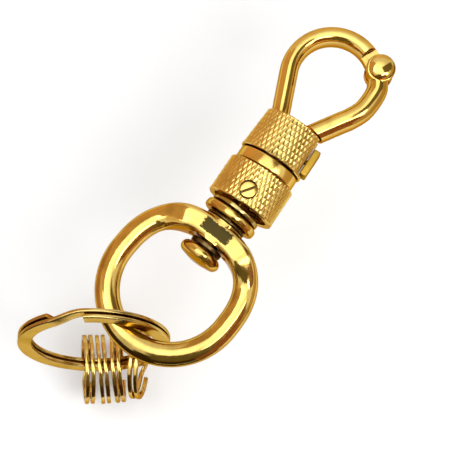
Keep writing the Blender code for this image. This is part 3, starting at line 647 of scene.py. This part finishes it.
# %% [markdown]
# Sizes that many pieces share are read off the frame, so that nothing here can drift away from the
# CAD: the sleeve's ends, the rivet's axis and the swivel's axis. The rest are the clasp's own
# dimensions, written once.

# %% Shared sizes
joints = {joint["name"]: joint for joint in frame["joints"]}


def joint_place(name):
    return Vector(joints[name]["pos_m"])


def joint_axis(name):
    return Vector(joints[name]["axis"]).normalized()


def ends_of(node):
    """Lowest and highest place of a CAD node along the clasp."""
    low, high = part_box(node)
    return low.y, high.y


GAP = 0.3 * MM
SLEEVE_LOW, RIM_Y = ends_of("lock_sleeve")
RIVET = joint_place("gate_swing")
SWIVEL_PIVOT = joint_place("bow_swivel")
SWIVEL_LEAN = joint_axis("bow_swivel").rotation_difference(ALONG).inverted()
SWIVEL_PLACE = (
    Matrix.Translation(SWIVEL_PIVOT) @ SWIVEL_LEAN.to_matrix().to_4x4() @ Matrix.Translation(-SWIVEL_PIVOT)
)
CORE_RADIUS = 5.4 * MM
BORE_RADIUS = CORE_RADIUS + GAP
STEM_RADIUS = 2.2 * MM
BORE_OF_RINGS = STEM_RADIUS + GAP
print("rim at", round(RIM_Y / MM, 2), "rivet at", tuple(round(c / MM, 2) for c in RIVET), "mm")

# %% [markdown]
# The hook and the gate are bars, flat on their sides and deeper than wide, bent to the same loop. So
# the bar's section and the loop come first. The section is a superellipse, which is the soft,
# flattened round that a cast and polished bar has.

# %% Bar and loop
HOOK_BAR_WIDTH = 4.4 * MM
HOOK_BAR_DEPTH = 6.6 * MM
LOOP_RADIUS = 10.3 * MM
LOOP_OFFSET = 1.2 * MM
LOOP_INNER_RADIUS = LOOP_RADIUS - HOOK_BAR_WIDTH / 2
LOOP_CENTRE = Vector((LOOP_OFFSET, -math.sqrt(LOOP_INNER_RADIUS ** 2 - LOOP_OFFSET ** 2), 0))
BAR_ROUNDNESS = 2.2
BAR_POINTS = 56


def bent(value, power):
    """A power that keeps the value's sign."""
    return math.copysign(abs(value) ** power, value)


def section(half_width, half_depth, roundness, count):
    """Points between an ellipse (roundness 2) and a rectangle (large roundness)."""
    power = 2 / roundness
    turns = [2 * math.pi * (i + 0.5) / count for i in range(count)]
    return [(half_width * bent(math.cos(t), power), half_depth * bent(math.sin(t), power)) for t in turns]


def flat_bar(name, path, width, depth, roundness=BAR_ROUNDNESS):
    """Sweeps a bar along a path in the clasp's plane."""
    outline = section(width / 2, depth / 2, roundness, BAR_POINTS)
    rings = []
    for i, point in enumerate(path):
        heading = (path[min(i + 1, len(path) - 1)] - path[max(i - 1, 0)]).normalized()
        side = UP.cross(heading)
        rings.append([point + side * wide + UP * deep for wide, deep in outline])
    return sweep(name, rings)


def on_loop(angle, radius=LOOP_RADIUS):
    return LOOP_CENTRE + radius * Vector((math.cos(angle), math.sin(angle), 0))


def touch_angle(foot, left):
    """Where on the loop the straight arm from foot runs into it."""
    reach = foot - LOOP_CENTRE
    turn = math.acos(LOOP_RADIUS / reach.length)
    heading = math.atan2(reach.y, reach.x)
    return heading - turn if left else heading + turn


print("loop centre, mm:", tuple(round(c / MM, 2) for c in LOOP_CENTRE))

# %% [markdown]
# The hook is one bar round the loop, ending in a thin tongue for the gate's fork. A sweep along the
# loop gives the bar, and two round recesses cut from its faces leave the tongue, as a milling cutter
# would do it. The core under the sleeves is the same casting, with a pocket for the gate's tail.

# %% Hook
ARM_FOOT = Vector((-4.0 * MM, RIM_Y, 0))
ARM_POINTS = 12
BAR_STOP_ANGLE = math.radians(50)
LOOP_POINTS = 140
CORE_LOW = ends_of("hook_frame")[0]
CORE_EDGE = 0.25 * MM
SLEEVE_BOTTOM_RADIUS = 7.9 * MM
TONGUE_THICKNESS = 2.6 * MM
TONGUE_RADIUS = 3.1 * MM
RECESS_RADIUS = 5.2 * MM
GATE_DEPTH = 7.0 * MM
GATE_REACH = GATE_DEPTH / 2 + OVERRUN
GATE_FOOT = Vector((4.2 * MM, RIM_Y, 0))
TAIL_WIDTH = 3.2 * MM
TAIL_THICKNESS = 3.2 * MM
TAIL_ROOM = TAIL_THICKNESS / 2 + GAP
TAIL_DIP = 2.1 * MM
TAIL_OFFSET = 3.25 * MM
TAIL_SWEEP_RADIUS = RIVET.y - RIM_Y + TAIL_DIP
TAIL_FLOOR = RIVET.y - TAIL_SWEEP_RADIUS - GAP


def rivet_rod(name, radius, reach, steps=SMALL_TURN_STEPS):
    """A rod about the rivet's axis, as far up as down."""
    return rod(name, radius, RIVET - UP * reach, RIVET + UP * reach, steps)


def gate_heading():
    """Direction of the gate's straight part, from the rim to the loop."""
    return (on_loop(touch_angle(GATE_FOOT, False)) - GATE_FOOT).normalized()


def hook_path():
    first = touch_angle(ARM_FOOT, True) + 2 * math.pi
    start = on_loop(first)
    root = ARM_FOOT - ALONG * (HOOK_BAR_WIDTH / 2)
    arm = [root] + [ARM_FOOT.lerp(start, k / ARM_POINTS) for k in range(1, ARM_POINTS)]
    sweep_angle = BAR_STOP_ANGLE - first
    return arm + [on_loop(first + sweep_angle * i / LOOP_POINTS) for i in range(LOOP_POINTS + 1)]


def make_hook():
    hook = flat_bar("hook_bar", hook_path(), HOOK_BAR_WIDTH, HOOK_BAR_DEPTH)
    space = tube(CORE_RADIUS - GAP, SLEEVE_BOTTOM_RADIUS + OVERRUN, SLEEVE_LOW, RIM_Y + GAP)
    boolean(hook, lathe("sleeve_space", space), "DIFFERENCE")
    core = tube(0, CORE_RADIUS, CORE_LOW, RIM_Y)
    boolean(hook, lathe("core_form", rounded(core, CORE_EDGE)), "UNION")
    half = TONGUE_THICKNESS / 2
    for side in (1, -1):
        start, end = (RIVET + UP * (side * reach) for reach in (half, GATE_REACH))
        boolean(hook, rod(f"recess_{side}", RECESS_RADIUS, start, end), "DIFFERENCE")
    boolean(hook, rivet_rod("tongue_form", TONGUE_RADIUS, half), "UNION")
    heading = gate_heading()
    tail_left = TAIL_OFFSET - TAIL_WIDTH / 2 / heading.y - (RIM_Y - TAIL_FLOOR) * heading.x / heading.y
    low = (tail_left - GAP, TAIL_FLOOR, -TAIL_ROOM)
    high = (CORE_RADIUS + OVERRUN, RIM_Y + OVERRUN, TAIL_ROOM)
    boolean(hook, block("tail_pocket", low, high), "DIFFERENCE")
    return bake(hook)


dress(make_hook(), "polished_brass", "clasp_body", "hook_frame")

# %% [markdown]
# The gate is the bar that opens. Its head is a fork that straddles the tongue, its arm follows the
# loop and then runs straight into the sleeve's mouth, and its tail is thinner, so that it drops into
# the core. The end is cut to an arc about the rivet, because the tail has to swing clear.

# %% Gate
RIVET_ANGLE = math.radians(43)
RIVET_SHANK_RADIUS = 1.3 * MM
GATE_WIDTH = 5.0 * MM
GATE_HEAD_RADIUS = 3.4 * MM
GATE_HEAD_EDGE = 0.5 * MM
GATE_SLOT_RADIUS = 4.1 * MM
GATE_SWEEP_RADIUS = RIVET.y - RIM_Y - GAP
GATE_BEND_SHARE = 0.35
GATE_NECK_SHARE = 0.45
TAIL_ROUNDNESS = 6.0
LARGE_TURN_STEPS = 720


def smooth_curve(points, steps=14):
    """A Catmull-Rom curve through the points."""
    padded = [points[0], *points, points[-1]]
    curve = []
    for before, near, far, after in zip(padded, padded[1:], padded[2:], padded[3:]):
        for k in range(steps):
            t = k / steps
            square = (2 * before - 5 * near + 4 * far - after) * t ** 2
            cube = (3 * near - before - 3 * far + after) * t ** 3
            curve.append((2 * near + (far - before) * t + square + cube) / 2)
    return curve + [points[-1]]


def gate_path():
    last = touch_angle(GATE_FOOT, False)
    start = on_loop(last)
    foot = GATE_FOOT + (GATE_FOOT - start).normalized() * TAIL_DIP
    straight = [foot, GATE_FOOT.lerp(start, 0.35), GATE_FOOT.lerp(start, 0.75)]
    shoulder = on_loop(RIVET_ANGLE * GATE_BEND_SHARE, LOOP_RADIUS + GAP)
    neck = RIVET.lerp(shoulder, GATE_NECK_SHARE)
    bend = on_loop(last * GATE_BEND_SHARE)
    return smooth_curve(straight + [start, bend, shoulder, neck, RIVET])


def make_gate():
    gate = flat_bar("gate_bar", gate_path(), GATE_WIDTH, GATE_DEPTH)
    head = rounded(tube(0, GATE_HEAD_RADIUS, 0, GATE_DEPTH), GATE_HEAD_EDGE)
    boolean(gate, lathe("gate_head_form", head, RIVET - UP * (GATE_DEPTH / 2), UP), "UNION")
    boolean(gate, rivet_rod("gate_sweep", GATE_SWEEP_RADIUS, GATE_REACH, LARGE_TURN_STEPS), "INTERSECT")
    heading = gate_heading()
    middle = Vector((TAIL_OFFSET, RIM_Y, 0))
    ends = [middle - heading * (2 * TAIL_DIP), middle, middle + heading * TAIL_WIDTH]
    tail = flat_bar("tail_form", ends, TAIL_WIDTH, TAIL_THICKNESS, TAIL_ROUNDNESS)
    boolean(tail, rivet_rod("tail_sweep", TAIL_SWEEP_RADIUS, GATE_REACH, LARGE_TURN_STEPS), "INTERSECT")
    boolean(gate, bake(tail), "UNION")
    boolean(gate, rivet_rod("gate_slot", GATE_SLOT_RADIUS, TONGUE_THICKNESS / 2 + GAP), "DIFFERENCE")
    boolean(gate, rivet_rod("fork_hole", RIVET_SHANK_RADIUS + GAP, GATE_REACH), "DIFFERENCE")
    return bake(gate)


dress(make_gate(), "polished_brass", "gate", "gate_arm")

# %% [markdown]
# The rivet was set with a rounded punch, so each head is a low dome with a soft rim. A profile of
# half an arc, turned about the hinge's axis, is all that it needs.

# %% Rivet
RIVET_HEAD_RADIUS = 2.85 * MM
RIVET_RIM = 0.35 * MM
RIVET_DOME = 1.1 * MM
RIVET_UNDERSIDE = RIVET_HEAD_RADIUS - 0.1 * MM
DOME_STEPS = 20


def make_rivet():
    base = GATE_DEPTH / 2 + GAP
    dome = arc(0, base + RIVET_RIM, RIVET_HEAD_RADIUS, RIVET_DOME, 0, math.pi / 2, DOME_STEPS)
    upper = [(RIVET_SHANK_RADIUS, base), (RIVET_UNDERSIDE, base)] + dome
    lower = [(radius, -height) for radius, height in reversed(upper)]
    return lathe("rivet", lower + upper, RIVET, UP)


dress(make_rivet(), "polished_brass", "clasp_body", "gate_rivet")

# %% [markdown]
# Knurling is rolled into brass by two wheels whose ridges lean left and right, so two families of
# grooves cross and leave slim diamonds. The rule is the same all over the sleeve, which makes it work
# for Geometry Nodes: the tree measures how far each point is round and along the sleeve, folds both
# sums into a groove depth, and pushes the point inwards. Both knurled sleeves share the tree.

# %% Knurling tree
KNURL_SIZES = {"Diamond Height": 2.8 * MM, "Depth": 0.17 * MM, "Crest Share": 0.88}


def build_knurl_tree():
    tree = bpy.data.node_groups.new("rolled_knurl", "GeometryNodeTree")
    sockets = [("Geometry", "Geometry"), ("Ridges", "Float")]
    sockets += [(name, "Float") for name in KNURL_SIZES] + [("Finish", "Material")]
    for name, kind in sockets:
        tree.interface.new_socket(name, in_out="INPUT", socket_type="NodeSocket" + kind)
    tree.interface.new_socket("Geometry", in_out="OUTPUT", socket_type="NodeSocketGeometry")
    given = add_node(tree, "NodeGroupInput").outputs
    position = add_node(tree, "GeometryNodeInputPosition").outputs[0]
    point = add_node(tree, "ShaderNodeSeparateXYZ", Vector=position).outputs
    turn = math_node(tree, "DIVIDE", math_node(tree, "ARCTAN2", point["Z"], point["X"]), 2 * math.pi)
    round_it = math_node(tree, "MULTIPLY", turn, given["Ridges"])
    along_it = math_node(tree, "DIVIDE", point["Y"], given["Diamond Height"])
    flanks = []
    for operation in ("ADD", "SUBTRACT"):
        phase = math_node(tree, operation, round_it, along_it)
        fold = math_node(tree, "MULTIPLY", math_node(tree, "PINGPONG", phase, 0.5), 2.0)
        rise = math_node(tree, "DIVIDE", fold, given["Crest Share"])
        flanks.append(math_node(tree, "MINIMUM", rise, 1.0))
    height = math_node(tree, "MINIMUM", *flanks)
    wall = add_node(tree, "GeometryNodeInputNamedAttribute", Name="wall").outputs["Attribute"]
    groove = math_node(tree, "MULTIPLY", math_node(tree, "SUBTRACT", 1.0, height), wall)
    outwards = add_node(tree, "ShaderNodeCombineXYZ", X=point["X"], Z=point["Z"]).outputs[0]
    unit = math_node(tree, "NORMALIZE", outwards, kind="ShaderNodeVectorMath")
    inwards = math_node(tree, "MULTIPLY", math_node(tree, "MULTIPLY", groove, given["Depth"]), -1.0)
    push = math_node(tree, "MULTIPLY", unit, inwards, kind="ShaderNodeVectorMath")
    blank = given["Geometry"]
    keep = add_node(tree, "GeometryNodeStoreNamedAttribute", Geometry=blank, Name="groove", Value=groove)
    move = add_node(tree, "GeometryNodeSetPosition", Geometry=keep.outputs[0], Offset=push)
    real = add_node(tree, "GeometryNodeRealizeInstances", Geometry=move.outputs[0])
    paint = add_node(tree, "GeometryNodeSetMaterial", Geometry=real.outputs[0], Material=given["Finish"])
    add_node(tree, "NodeGroupOutput", Geometry=paint.outputs[0])
    return tree


knurl_tree = build_knurl_tree()
print("knurling tree nodes:", len(knurl_tree.nodes))

# %% [markdown]
# The sleeves themselves are turned with a very fine wall, because the grooves are only as crisp as
# the points that carry them. An attribute called wall says how much of the groove each point takes:
# all of it on the wall, none on the chamfers, the bore and the smooth lines at the rims.

# %% Knurled sleeve blanks
COLUMNS_PER_RIDGE = 12
WALL_ROW = 0.11 * MM
RIM_LAND = 0.02 * MM
RIM_FADE = 0.12 * MM
CHAMFER = 0.35 * MM
RIM_CHAMFER = 0.18 * MM
BORE_MARGIN = 0.02 * MM


def knurled_blank(name, low, high, low_radius, high_radius, rest, ridges):
    """A tube whose outer wall runs from low to high; rest is the profile back through its bore."""
    first = Vector((low_radius, low + RIM_CHAMFER))
    last = Vector((high_radius, high - RIM_CHAMFER))
    rows = round((last.y - first.y) / WALL_ROW)
    wall = [first.lerp(last, i / rows) for i in range(rows + 1)]
    steps = ridges * COLUMNS_PER_RIDGE
    blank = lathe(name, wall + rest, steps=steps)
    weights = []
    for radius, height in wall:
        inside = min(height - low, high - height) - RIM_CHAMFER - RIM_LAND
        weights += [min(max(inside / RIM_FADE, 0), 1)] * steps
    weights += [0.0] * (len(blank.data.vertices) - len(weights))
    blank.data.attributes.new("wall", "FLOAT", "POINT").data.foreach_set("value", weights)
    return blank


def knurl(obj, ridges):
    """Rolls the knurling into a blank, with the tree's inputs set by their identifiers."""
    modifier = obj.modifiers.new("knurl", "NODES")
    modifier.node_group = knurl_tree
    settings = dict(KNURL_SIZES, Ridges=float(ridges), Finish=brass["knurled_brass"])
    for item in knurl_tree.interface.items_tree:
        if item.in_out == "INPUT" and item.name in settings:
            modifier[item.identifier] = settings[item.name]
    obj.update_tag()


def paint_bore_shade(obj, radius):
    """Paints shade inside a radius: everything there takes the tone of a deep groove."""
    groove = obj.data.attributes["groove"]
    for vertex, value in zip(obj.data.vertices, groove.data):
        if math.hypot(vertex.co.x, vertex.co.z) < radius + BORE_MARGIN:
            value.value = 1
    return obj


print("row spacing on the walls, mm:", WALL_ROW / MM)

# %% [markdown]
# The lock sleeve tapers a little towards the hook. It has a flat for the thumb tab and a notch that
# lets the gate's tail swing out, both milled after knurling, so both are cut from the knurled mesh.

# %% Lock sleeve
SLEEVE_TOP_RADIUS = 7.3 * MM
SLEEVE_FLAT = 6.7 * MM
SLEEVE_LEDGE = 0.9 * MM
WASHER_POCKET_RADIUS = 6.9 * MM
WASHER_POCKET_DEPTH = 1.0 * MM
SLEEVE_RIDGES = 42


def make_sleeve():
    low, high = SLEEVE_LOW, RIM_Y
    pocket_y = low + WASHER_POCKET_DEPTH
    rest = [
        (SLEEVE_TOP_RADIUS - RIM_CHAMFER, high), (BORE_RADIUS + CHAMFER, high), (BORE_RADIUS, high - CHAMFER),
        (BORE_RADIUS, pocket_y), (WASHER_POCKET_RADIUS, pocket_y), (WASHER_POCKET_RADIUS, low),
        (SLEEVE_BOTTOM_RADIUS - RIM_CHAMFER, low),
    ]
    radii = (SLEEVE_BOTTOM_RADIUS, SLEEVE_TOP_RADIUS)
    sleeve = knurled_blank("lock_sleeve_body", low, high, *radii, rest, SLEEVE_RIDGES)
    knurl(sleeve, SLEEVE_RIDGES)
    reach = SLEEVE_BOTTOM_RADIUS + OVERRUN
    top = high + OVERRUN
    flat = block("tab_flat", (SLEEVE_FLAT, low + SLEEVE_LEDGE, -reach), (reach, top, reach))
    boolean(sleeve, flat, "DIFFERENCE")
    notch = block("gate_notch", (CORE_RADIUS, TAIL_FLOOR, -TAIL_ROOM), (reach, top, TAIL_ROOM))
    boolean(sleeve, notch, "DIFFERENCE")
    # The bore is painted with shade.
    return paint_bore_shade(bake(sleeve), BORE_RADIUS)


dress(make_sleeve(), "knurled_brass", "sleeve", "lock_sleeve")

# %% [markdown]
# The thumb tab is a plain lozenge of brass on a pin. It is matte, and its long edges are well
# rounded by use, so a cube is given its size first and then a generous bevel. The pin is hidden
# under it, so its CAD node stays and only takes the tab's finish.

# %% Thumb tab and pin
TAB_EDGE = 0.35 * MM
TAB_BEVEL_STEPS = 5


def make_tab():
    tab = block("tab", *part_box("thumb_tab"))
    bevel = tab.modifiers.new("worn_edges", "BEVEL")
    bevel.width = TAB_EDGE
    bevel.segments = TAB_BEVEL_STEPS
    bevel.limit_method = "ANGLE"
    return bake(tab)


dress(make_tab(), "matte_tab_brass", "sleeve", "thumb_tab")
repaint(frame["nodes"]["tab_pin"], "matte_tab_brass")

# %% [markdown]
# Under the sleeve sits a smooth band, and under that the lower collar, knurled like the sleeve. The
# collar has a counterbored hole for the slotted screw and a recess at its swivel end, which is the
# dark ring in the photograph; the inside of the recess and of the bore is painted with shade. The wave
# washer inside the sleeve keeps its CAD node.

# %% Band and collar
BAND_RADIUS = 7.5 * MM
BAND_EDGE = 0.4 * MM
COLLAR_RADIUS = 8.3 * MM
COLLAR_RECESS_RADIUS = 6.9 * MM
COLLAR_RECESS_DEPTH = 1.2 * MM
COLLAR_RIDGES = 46
SCREW_Y = SWIVEL_PIVOT.y
SCREW_HEAD_RADIUS = 1.9 * MM
SCREW_TOP = math.sqrt(COLLAR_RADIUS ** 2 - SCREW_HEAD_RADIUS ** 2)
SCREW_HOLE_DEPTH = 1.6 * MM
SCREW_HOLE_REACH = 4 * MM


def make_band():
    return lathe("smooth_band", rounded(tube(BORE_RADIUS, BAND_RADIUS, *ends_of("guide_band")), BAND_EDGE))


def make_collar():
    low, high = ends_of("lower_collar")
    floor_y = low + COLLAR_RECESS_DEPTH
    rest = [
        (COLLAR_RADIUS - RIM_CHAMFER, high), (BORE_RADIUS, high), (BORE_RADIUS, floor_y),
        (COLLAR_RECESS_RADIUS, floor_y), (COLLAR_RECESS_RADIUS, low + CHAMFER / 2),
        (COLLAR_RECESS_RADIUS + CHAMFER / 2, low), (COLLAR_RADIUS - RIM_CHAMFER, low),
    ]
    collar = knurled_blank("collar_body", low, high, COLLAR_RADIUS, COLLAR_RADIUS, rest, COLLAR_RIDGES)
    knurl(collar, COLLAR_RIDGES)
    hole = Vector((0, SCREW_Y, SCREW_TOP - SCREW_HOLE_DEPTH))
    drill = rod("screw_hole", SCREW_HEAD_RADIUS + GAP, hole, hole + UP * SCREW_HOLE_REACH)
    boolean(collar, drill, "DIFFERENCE")
    # The recess and the bore are painted with shade.
    return paint_bore_shade(bake(collar), COLLAR_RECESS_RADIUS)


dress(make_band(), "band_brass", "clasp_body", "guide_band")
dress(make_collar(), "knurled_brass", "clasp_body", "lower_collar")
# The wave washer takes the dark finish, which is painted shade.
repaint(frame["nodes"]["wave_washer"], "shade_dark_brass")

# %% [markdown]
# The screw is a slotted cheese head. Its slot is milled across at the angle that the photograph
# shows, from a head turned with a slightly crowned face. The finish is darker in a thin box round the
# slot's floor.

# %% Slotted screw
SCREW_HEAD_THICKNESS = 1.3 * MM
SCREW_SHANK_RADIUS = 1.1 * MM
SCREW_CROWN = 0.12 * MM
SCREW_FLAT_SHARE = 0.6
SCREW_EDGE = 0.2 * MM
SCREW_SLOT_WIDTH = 0.6 * MM
SCREW_SLOT_DEPTH = 0.5 * MM
SCREW_SLOT_TURN = math.radians(-37)
SLOT_SPOT = (3 * MM, 3 * MM, 0.3 * MM)


def make_screw():
    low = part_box("collar_screw")[0].z
    under = SCREW_TOP - SCREW_HEAD_THICKNESS
    outline = [
        (0, low), (SCREW_SHANK_RADIUS, low), (SCREW_SHANK_RADIUS, under), (SCREW_HEAD_RADIUS, under),
        (SCREW_HEAD_RADIUS, SCREW_TOP - SCREW_CROWN), (SCREW_HEAD_RADIUS * SCREW_FLAT_SHARE, SCREW_TOP),
        (0, SCREW_TOP),
    ]
    centre = Vector((0, SCREW_Y, 0))
    screw = lathe("slotted_screw", rounded(outline, SCREW_EDGE), centre, UP, SMALL_TURN_STEPS)
    half = SCREW_SLOT_WIDTH / 2
    reach = SCREW_HEAD_RADIUS + OVERRUN
    slot = block("slot", (-half, -reach, SCREW_TOP - SCREW_SLOT_DEPTH), (half, reach, SCREW_TOP + OVERRUN))
    settle(slot, Matrix.Translation(centre) @ Matrix.Rotation(SCREW_SLOT_TURN, 4, "Z"))
    boolean(screw, slot, "DIFFERENCE")
    return bake(screw)


slot_floor = Matrix.Translation((0, SCREW_Y, SCREW_TOP - SCREW_SLOT_DEPTH))
brass_finish("screw_brass", GOLD, (0.07, 0.04, 0.01), 0.2, 0.04, 0.1, dark_spot=(slot_floor, SLOT_SPOT))
dress(make_screw(), "screw_brass", "clasp_body", "collar_screw")

# %% [markdown]
# The swivel is a stack on one stem: a disc, a round bead, a thin washer, the bow's boss, a second
# washer and the stem's riveted button. The disc and the washers carry painted shade, as they sit in
# the dark gaps of the stack. The stack hangs a few degrees askew in its loose bore, so each piece is
# turned upright and then leaned by one shared matrix. The four rings differ only in size and finish,
# so a table holds them.

# %% Swivel stack
BUTTON_RADIUS = 5.15 * MM
BUTTON_THICKNESS = 2.8 * MM
BUTTON_FLAT_SHARE = 0.4
BUTTON_RIM_STEPS = 24
# Each row: name, CAD node, radius and edge in mm, finish, slot.
STEM_RINGS = (
    ("disc", "swivel_disc", 6.1, 0.35, "disc_brass", "disc_brass"),
    ("bead", "swivel_bead", 6.7, 1.0, "swivel_brass", "bead_brass"),
    ("neck_ring", "neck_washer", 5.0, 0.15, "shade_dark_brass", "neck_brass"),
    ("button_ring", "button_washer", 4.0, 0.3, "shade_dark_brass", "button_washer_brass"),
)


def upright_span(node):
    """Lowest and highest place of a leaned CAD node along the upright axis."""
    back = SWIVEL_PLACE.inverted()
    heights = [(back @ vertex.co).y for vertex in frame["nodes"][node].data.vertices]
    return min(heights), max(heights)


def make_stem():
    low, high = upright_span("swivel_stem")
    half = BUTTON_THICKNESS / 2
    middle = low + CHAMFER + half
    rim = arc(BUTTON_RADIUS - half, middle, half, half, math.pi / 2, -math.pi / 2, BUTTON_RIM_STEPS)
    outline = [(0, high), (STEM_RADIUS - CHAMFER, high), (STEM_RADIUS, high - CHAMFER)]
    outline += [(STEM_RADIUS, middle + half)] + rim + [(BUTTON_RADIUS * BUTTON_FLAT_SHARE, low), (0, low)]
    return settle(lathe("swivel_button", outline), SWIVEL_PLACE)


dress(make_stem(), "swivel_brass", "clasp_body", "swivel_stem")
for name, node, radius, edge, finish, slot in STEM_RINGS:
    outline = rounded(tube(BORE_OF_RINGS, radius * MM, *upright_span(node)), edge * MM)
    dress(settle(lathe(name, outline), SWIVEL_PLACE), finish, "clasp_body", node)

# %% [markdown]
# The bow is an oval ring of round bar that swells into a flat-faced boss where the stem passes
# through. One sweep does both: the section goes from round to nearly square near the boss, and the
# seat and the hole are cut afterwards. The boss has a sunk dark panel at the front, which is a dark
# spot in the finish.

# %% Bow
BOW_HALF_WIDTH = 14.85 * MM
BOW_HALF_HEIGHT = 15.4 * MM
BOW_SHOULDER_ROUNDNESS = 2.55
BOW_BAR_RADIUS = 2.85 * MM
BOSS_DEPTH = 5.1 * MM
BOSS_SEAT_RADIUS = 5.1 * MM
BOSS_SPREAD = math.radians(44)
BOSS_BLEND = math.radians(37)
BOSS_ROUNDNESS = 5.0
BOW_POINTS = 288
BOSS_TOP = upright_span("bow")[1]
BOSS_BOTTOM = BOSS_TOP - 2 * BOW_BAR_RADIUS
BOW_CENTRE = Vector((0, BOSS_TOP - BOW_HALF_HEIGHT - BOW_BAR_RADIUS, 0))
PANEL_SPOT = (4.0 * MM, 1.6 * MM, 0.6 * MM)


def bow_point(angle):
    """Middle of the bar: an ellipse below, with squarer shoulders above."""
    power = 2 / BOW_SHOULDER_ROUNDNESS if math.sin(angle) > 0 else 1
    x = BOW_HALF_WIDTH * bent(math.cos(angle), power)
    y = BOW_HALF_HEIGHT * bent(math.sin(angle), power)
    return BOW_CENTRE + Vector((x, y, 0))


def ease(value):
    """A smooth step from 0 to 1."""
    value = min(max(value, 0), 1)
    return value * value * (3 - 2 * value)


def make_bow():
    rings = []
    step = math.pi / BOW_POINTS
    for i in range(BOW_POINTS):
        angle = 2 * math.pi * i / BOW_POINTS
        away = abs(angle - math.pi / 2)
        share = 1 - ease((away - BOSS_SPREAD / 2) / BOSS_BLEND)
        depth = BOW_BAR_RADIUS + (BOSS_DEPTH - BOW_BAR_RADIUS) * share
        roundness = 2 + (BOSS_ROUNDNESS - 2) * share
        out = (bow_point(angle + step) - bow_point(angle - step)).normalized().cross(UP)
        outline = section(BOW_BAR_RADIUS, depth, roundness, BAR_POINTS)
        rings.append([bow_point(angle) + out * wide + UP * deep for wide, deep in outline])
    bow = sweep("bow_ring", rings, closed=True)
    seat_low = ALONG * (BOSS_BOTTOM - CHAMFER)
    seat_high = ALONG * BOSS_TOP
    below = ALONG * (BOSS_BOTTOM - BOW_BAR_RADIUS)
    above = ALONG * (BOSS_TOP + BOW_BAR_RADIUS)
    boolean(bow, rod("boss_seat", BOSS_SEAT_RADIUS, seat_low, seat_high), "UNION")
    boolean(bow, rod("spot_face", BOSS_SEAT_RADIUS + GAP, below, ALONG * BOSS_BOTTOM), "DIFFERENCE")
    boolean(bow, rod("boss_hole", BORE_OF_RINGS, below, above), "DIFFERENCE")
    return settle(bake(bow), SWIVEL_PLACE)


panel_place = SWIVEL_PLACE @ Matrix.Translation((0, BOSS_TOP - BOW_BAR_RADIUS, BOSS_DEPTH))
brass_finish(
    "bow_brass", DEEP_GOLD, (0.03, 0.021, 0.006), 0.11, 0.04, 0.12, 0.6,
    speckle=0.5, dark_spot=(panel_place, PANEL_SPOT),
)
dress(make_bow(), "bow_brass", "bow", "bow")

# %% [markdown]
# A split ring is flat wire wound twice round, with one crossover where the wire steps from one turn
# to the next. Angle by angle, the path is a circle whose place along the ring's axis changes only in
# the crossover. Both kinds of ring use the same function.

# %% Split ring wire
SPLIT_GAP = 0.45 * MM
WIRE_ROUNDNESS = 6.5
WIRE_POINTS = 28


def split_ring(name, centre, side, top, radius, width, thickness, jog_start, jog_span, steps):
    """Two turns of flat wire about the axis side x top, with one crossover after jog_start."""
    normal = side.cross(top).normalized()
    pitch = thickness + SPLIT_GAP
    middle = radius - width / 2
    first = jog_start + jog_span + GAP / middle
    last = jog_start + 4 * math.pi - GAP / middle
    outline = section(width / 2, thickness / 2, WIRE_ROUNDNESS, WIRE_POINTS)
    count = round((last - first) / (2 * math.pi) * steps)
    rings = []
    for i in range(count + 1):
        angle = first + (last - first) * i / count
        share = ease((angle - jog_start - 2 * math.pi) / jog_span)
        out = math.sin(angle) * side + math.cos(angle) * top
        place = centre + out * middle + normal * (pitch * (0.5 - share))
        rings.append([place + out * wide + normal * deep for wide, deep in outline])
    return sweep(name, rings)


def middle_of(node, side, top):
    """Middle of a CAD ring, found from its reach along its side, its top and its own axis."""
    corners = [vertex.co for vertex in frame["nodes"][node].data.vertices]
    middle = Vector()
    for axis in (side, top, side.cross(top)):
        reach = [corner.dot(axis) for corner in corners]
        middle += axis * ((min(reach) + max(reach)) / 2)
    return middle


print("wire section points:", WIRE_POINTS)

# %% [markdown]
# The key ring hangs over the bow's bar, turned and leaned as the photograph shows it. Its middle is
# read off its CAD node, so the finer wire lies exactly where the solid one does.

# %% Key ring
KEY_RING_RADIUS = 17.5 * MM
KEY_RING_WIRE = (3.2 * MM, 0.95 * MM)
KEY_RING_TURN = math.radians(34)
KEY_RING_LEAN = math.radians(15)
KEY_RING_JOG = (math.radians(-32), math.radians(27))
KEY_RING_STEPS = 150
RING_SIDE = Vector((math.cos(KEY_RING_TURN), math.sin(KEY_RING_TURN), 0))
RING_TOP = UP * math.cos(KEY_RING_LEAN) + UP.cross(RING_SIDE) * math.sin(KEY_RING_LEAN)

key_ring = split_ring(
    "key_ring_wire", middle_of("key_ring", RING_SIDE, RING_TOP), RING_SIDE, RING_TOP, KEY_RING_RADIUS,
    *KEY_RING_WIRE, *KEY_RING_JOG, KEY_RING_STEPS,
)
dress(key_ring, "ring_brass", "key_ring", "key_ring")

# %% [markdown]
# The four small rings hang on the key ring's lowest stretch and dangle straight down. They are
# equal, so one function makes them in a loop. Each lies square to its own joint's axis, which follows
# the wire that carries it.

# %% Small rings
SMALL_RING_COUNT = 4
SMALL_RING_RADIUS = 8.4 * MM
SMALL_RING_WIRE = (1.3 * MM, 0.95 * MM)
SMALL_RING_SWING = math.radians(-8)
SMALL_RING_JOG = (math.radians(150), math.radians(40))
SMALL_RING_STEPS = 100


def make_small_ring(number):
    node = f"small_ring_{number}"
    normal = joint_axis(node + "_swing")
    side = Matrix.Rotation(SMALL_RING_SWING, 3, normal) @ UP.cross(normal).normalized()
    top = normal.cross(side)
    wire = split_ring(
        node + "_wire", middle_of(node, side, top), side, top, SMALL_RING_RADIUS, *SMALL_RING_WIRE,
        *SMALL_RING_JOG, SMALL_RING_STEPS,
    )
    dress(wire, "small_ring_brass", node, node)


for number in range(1, SMALL_RING_COUNT + 1):
    make_small_ring(number)
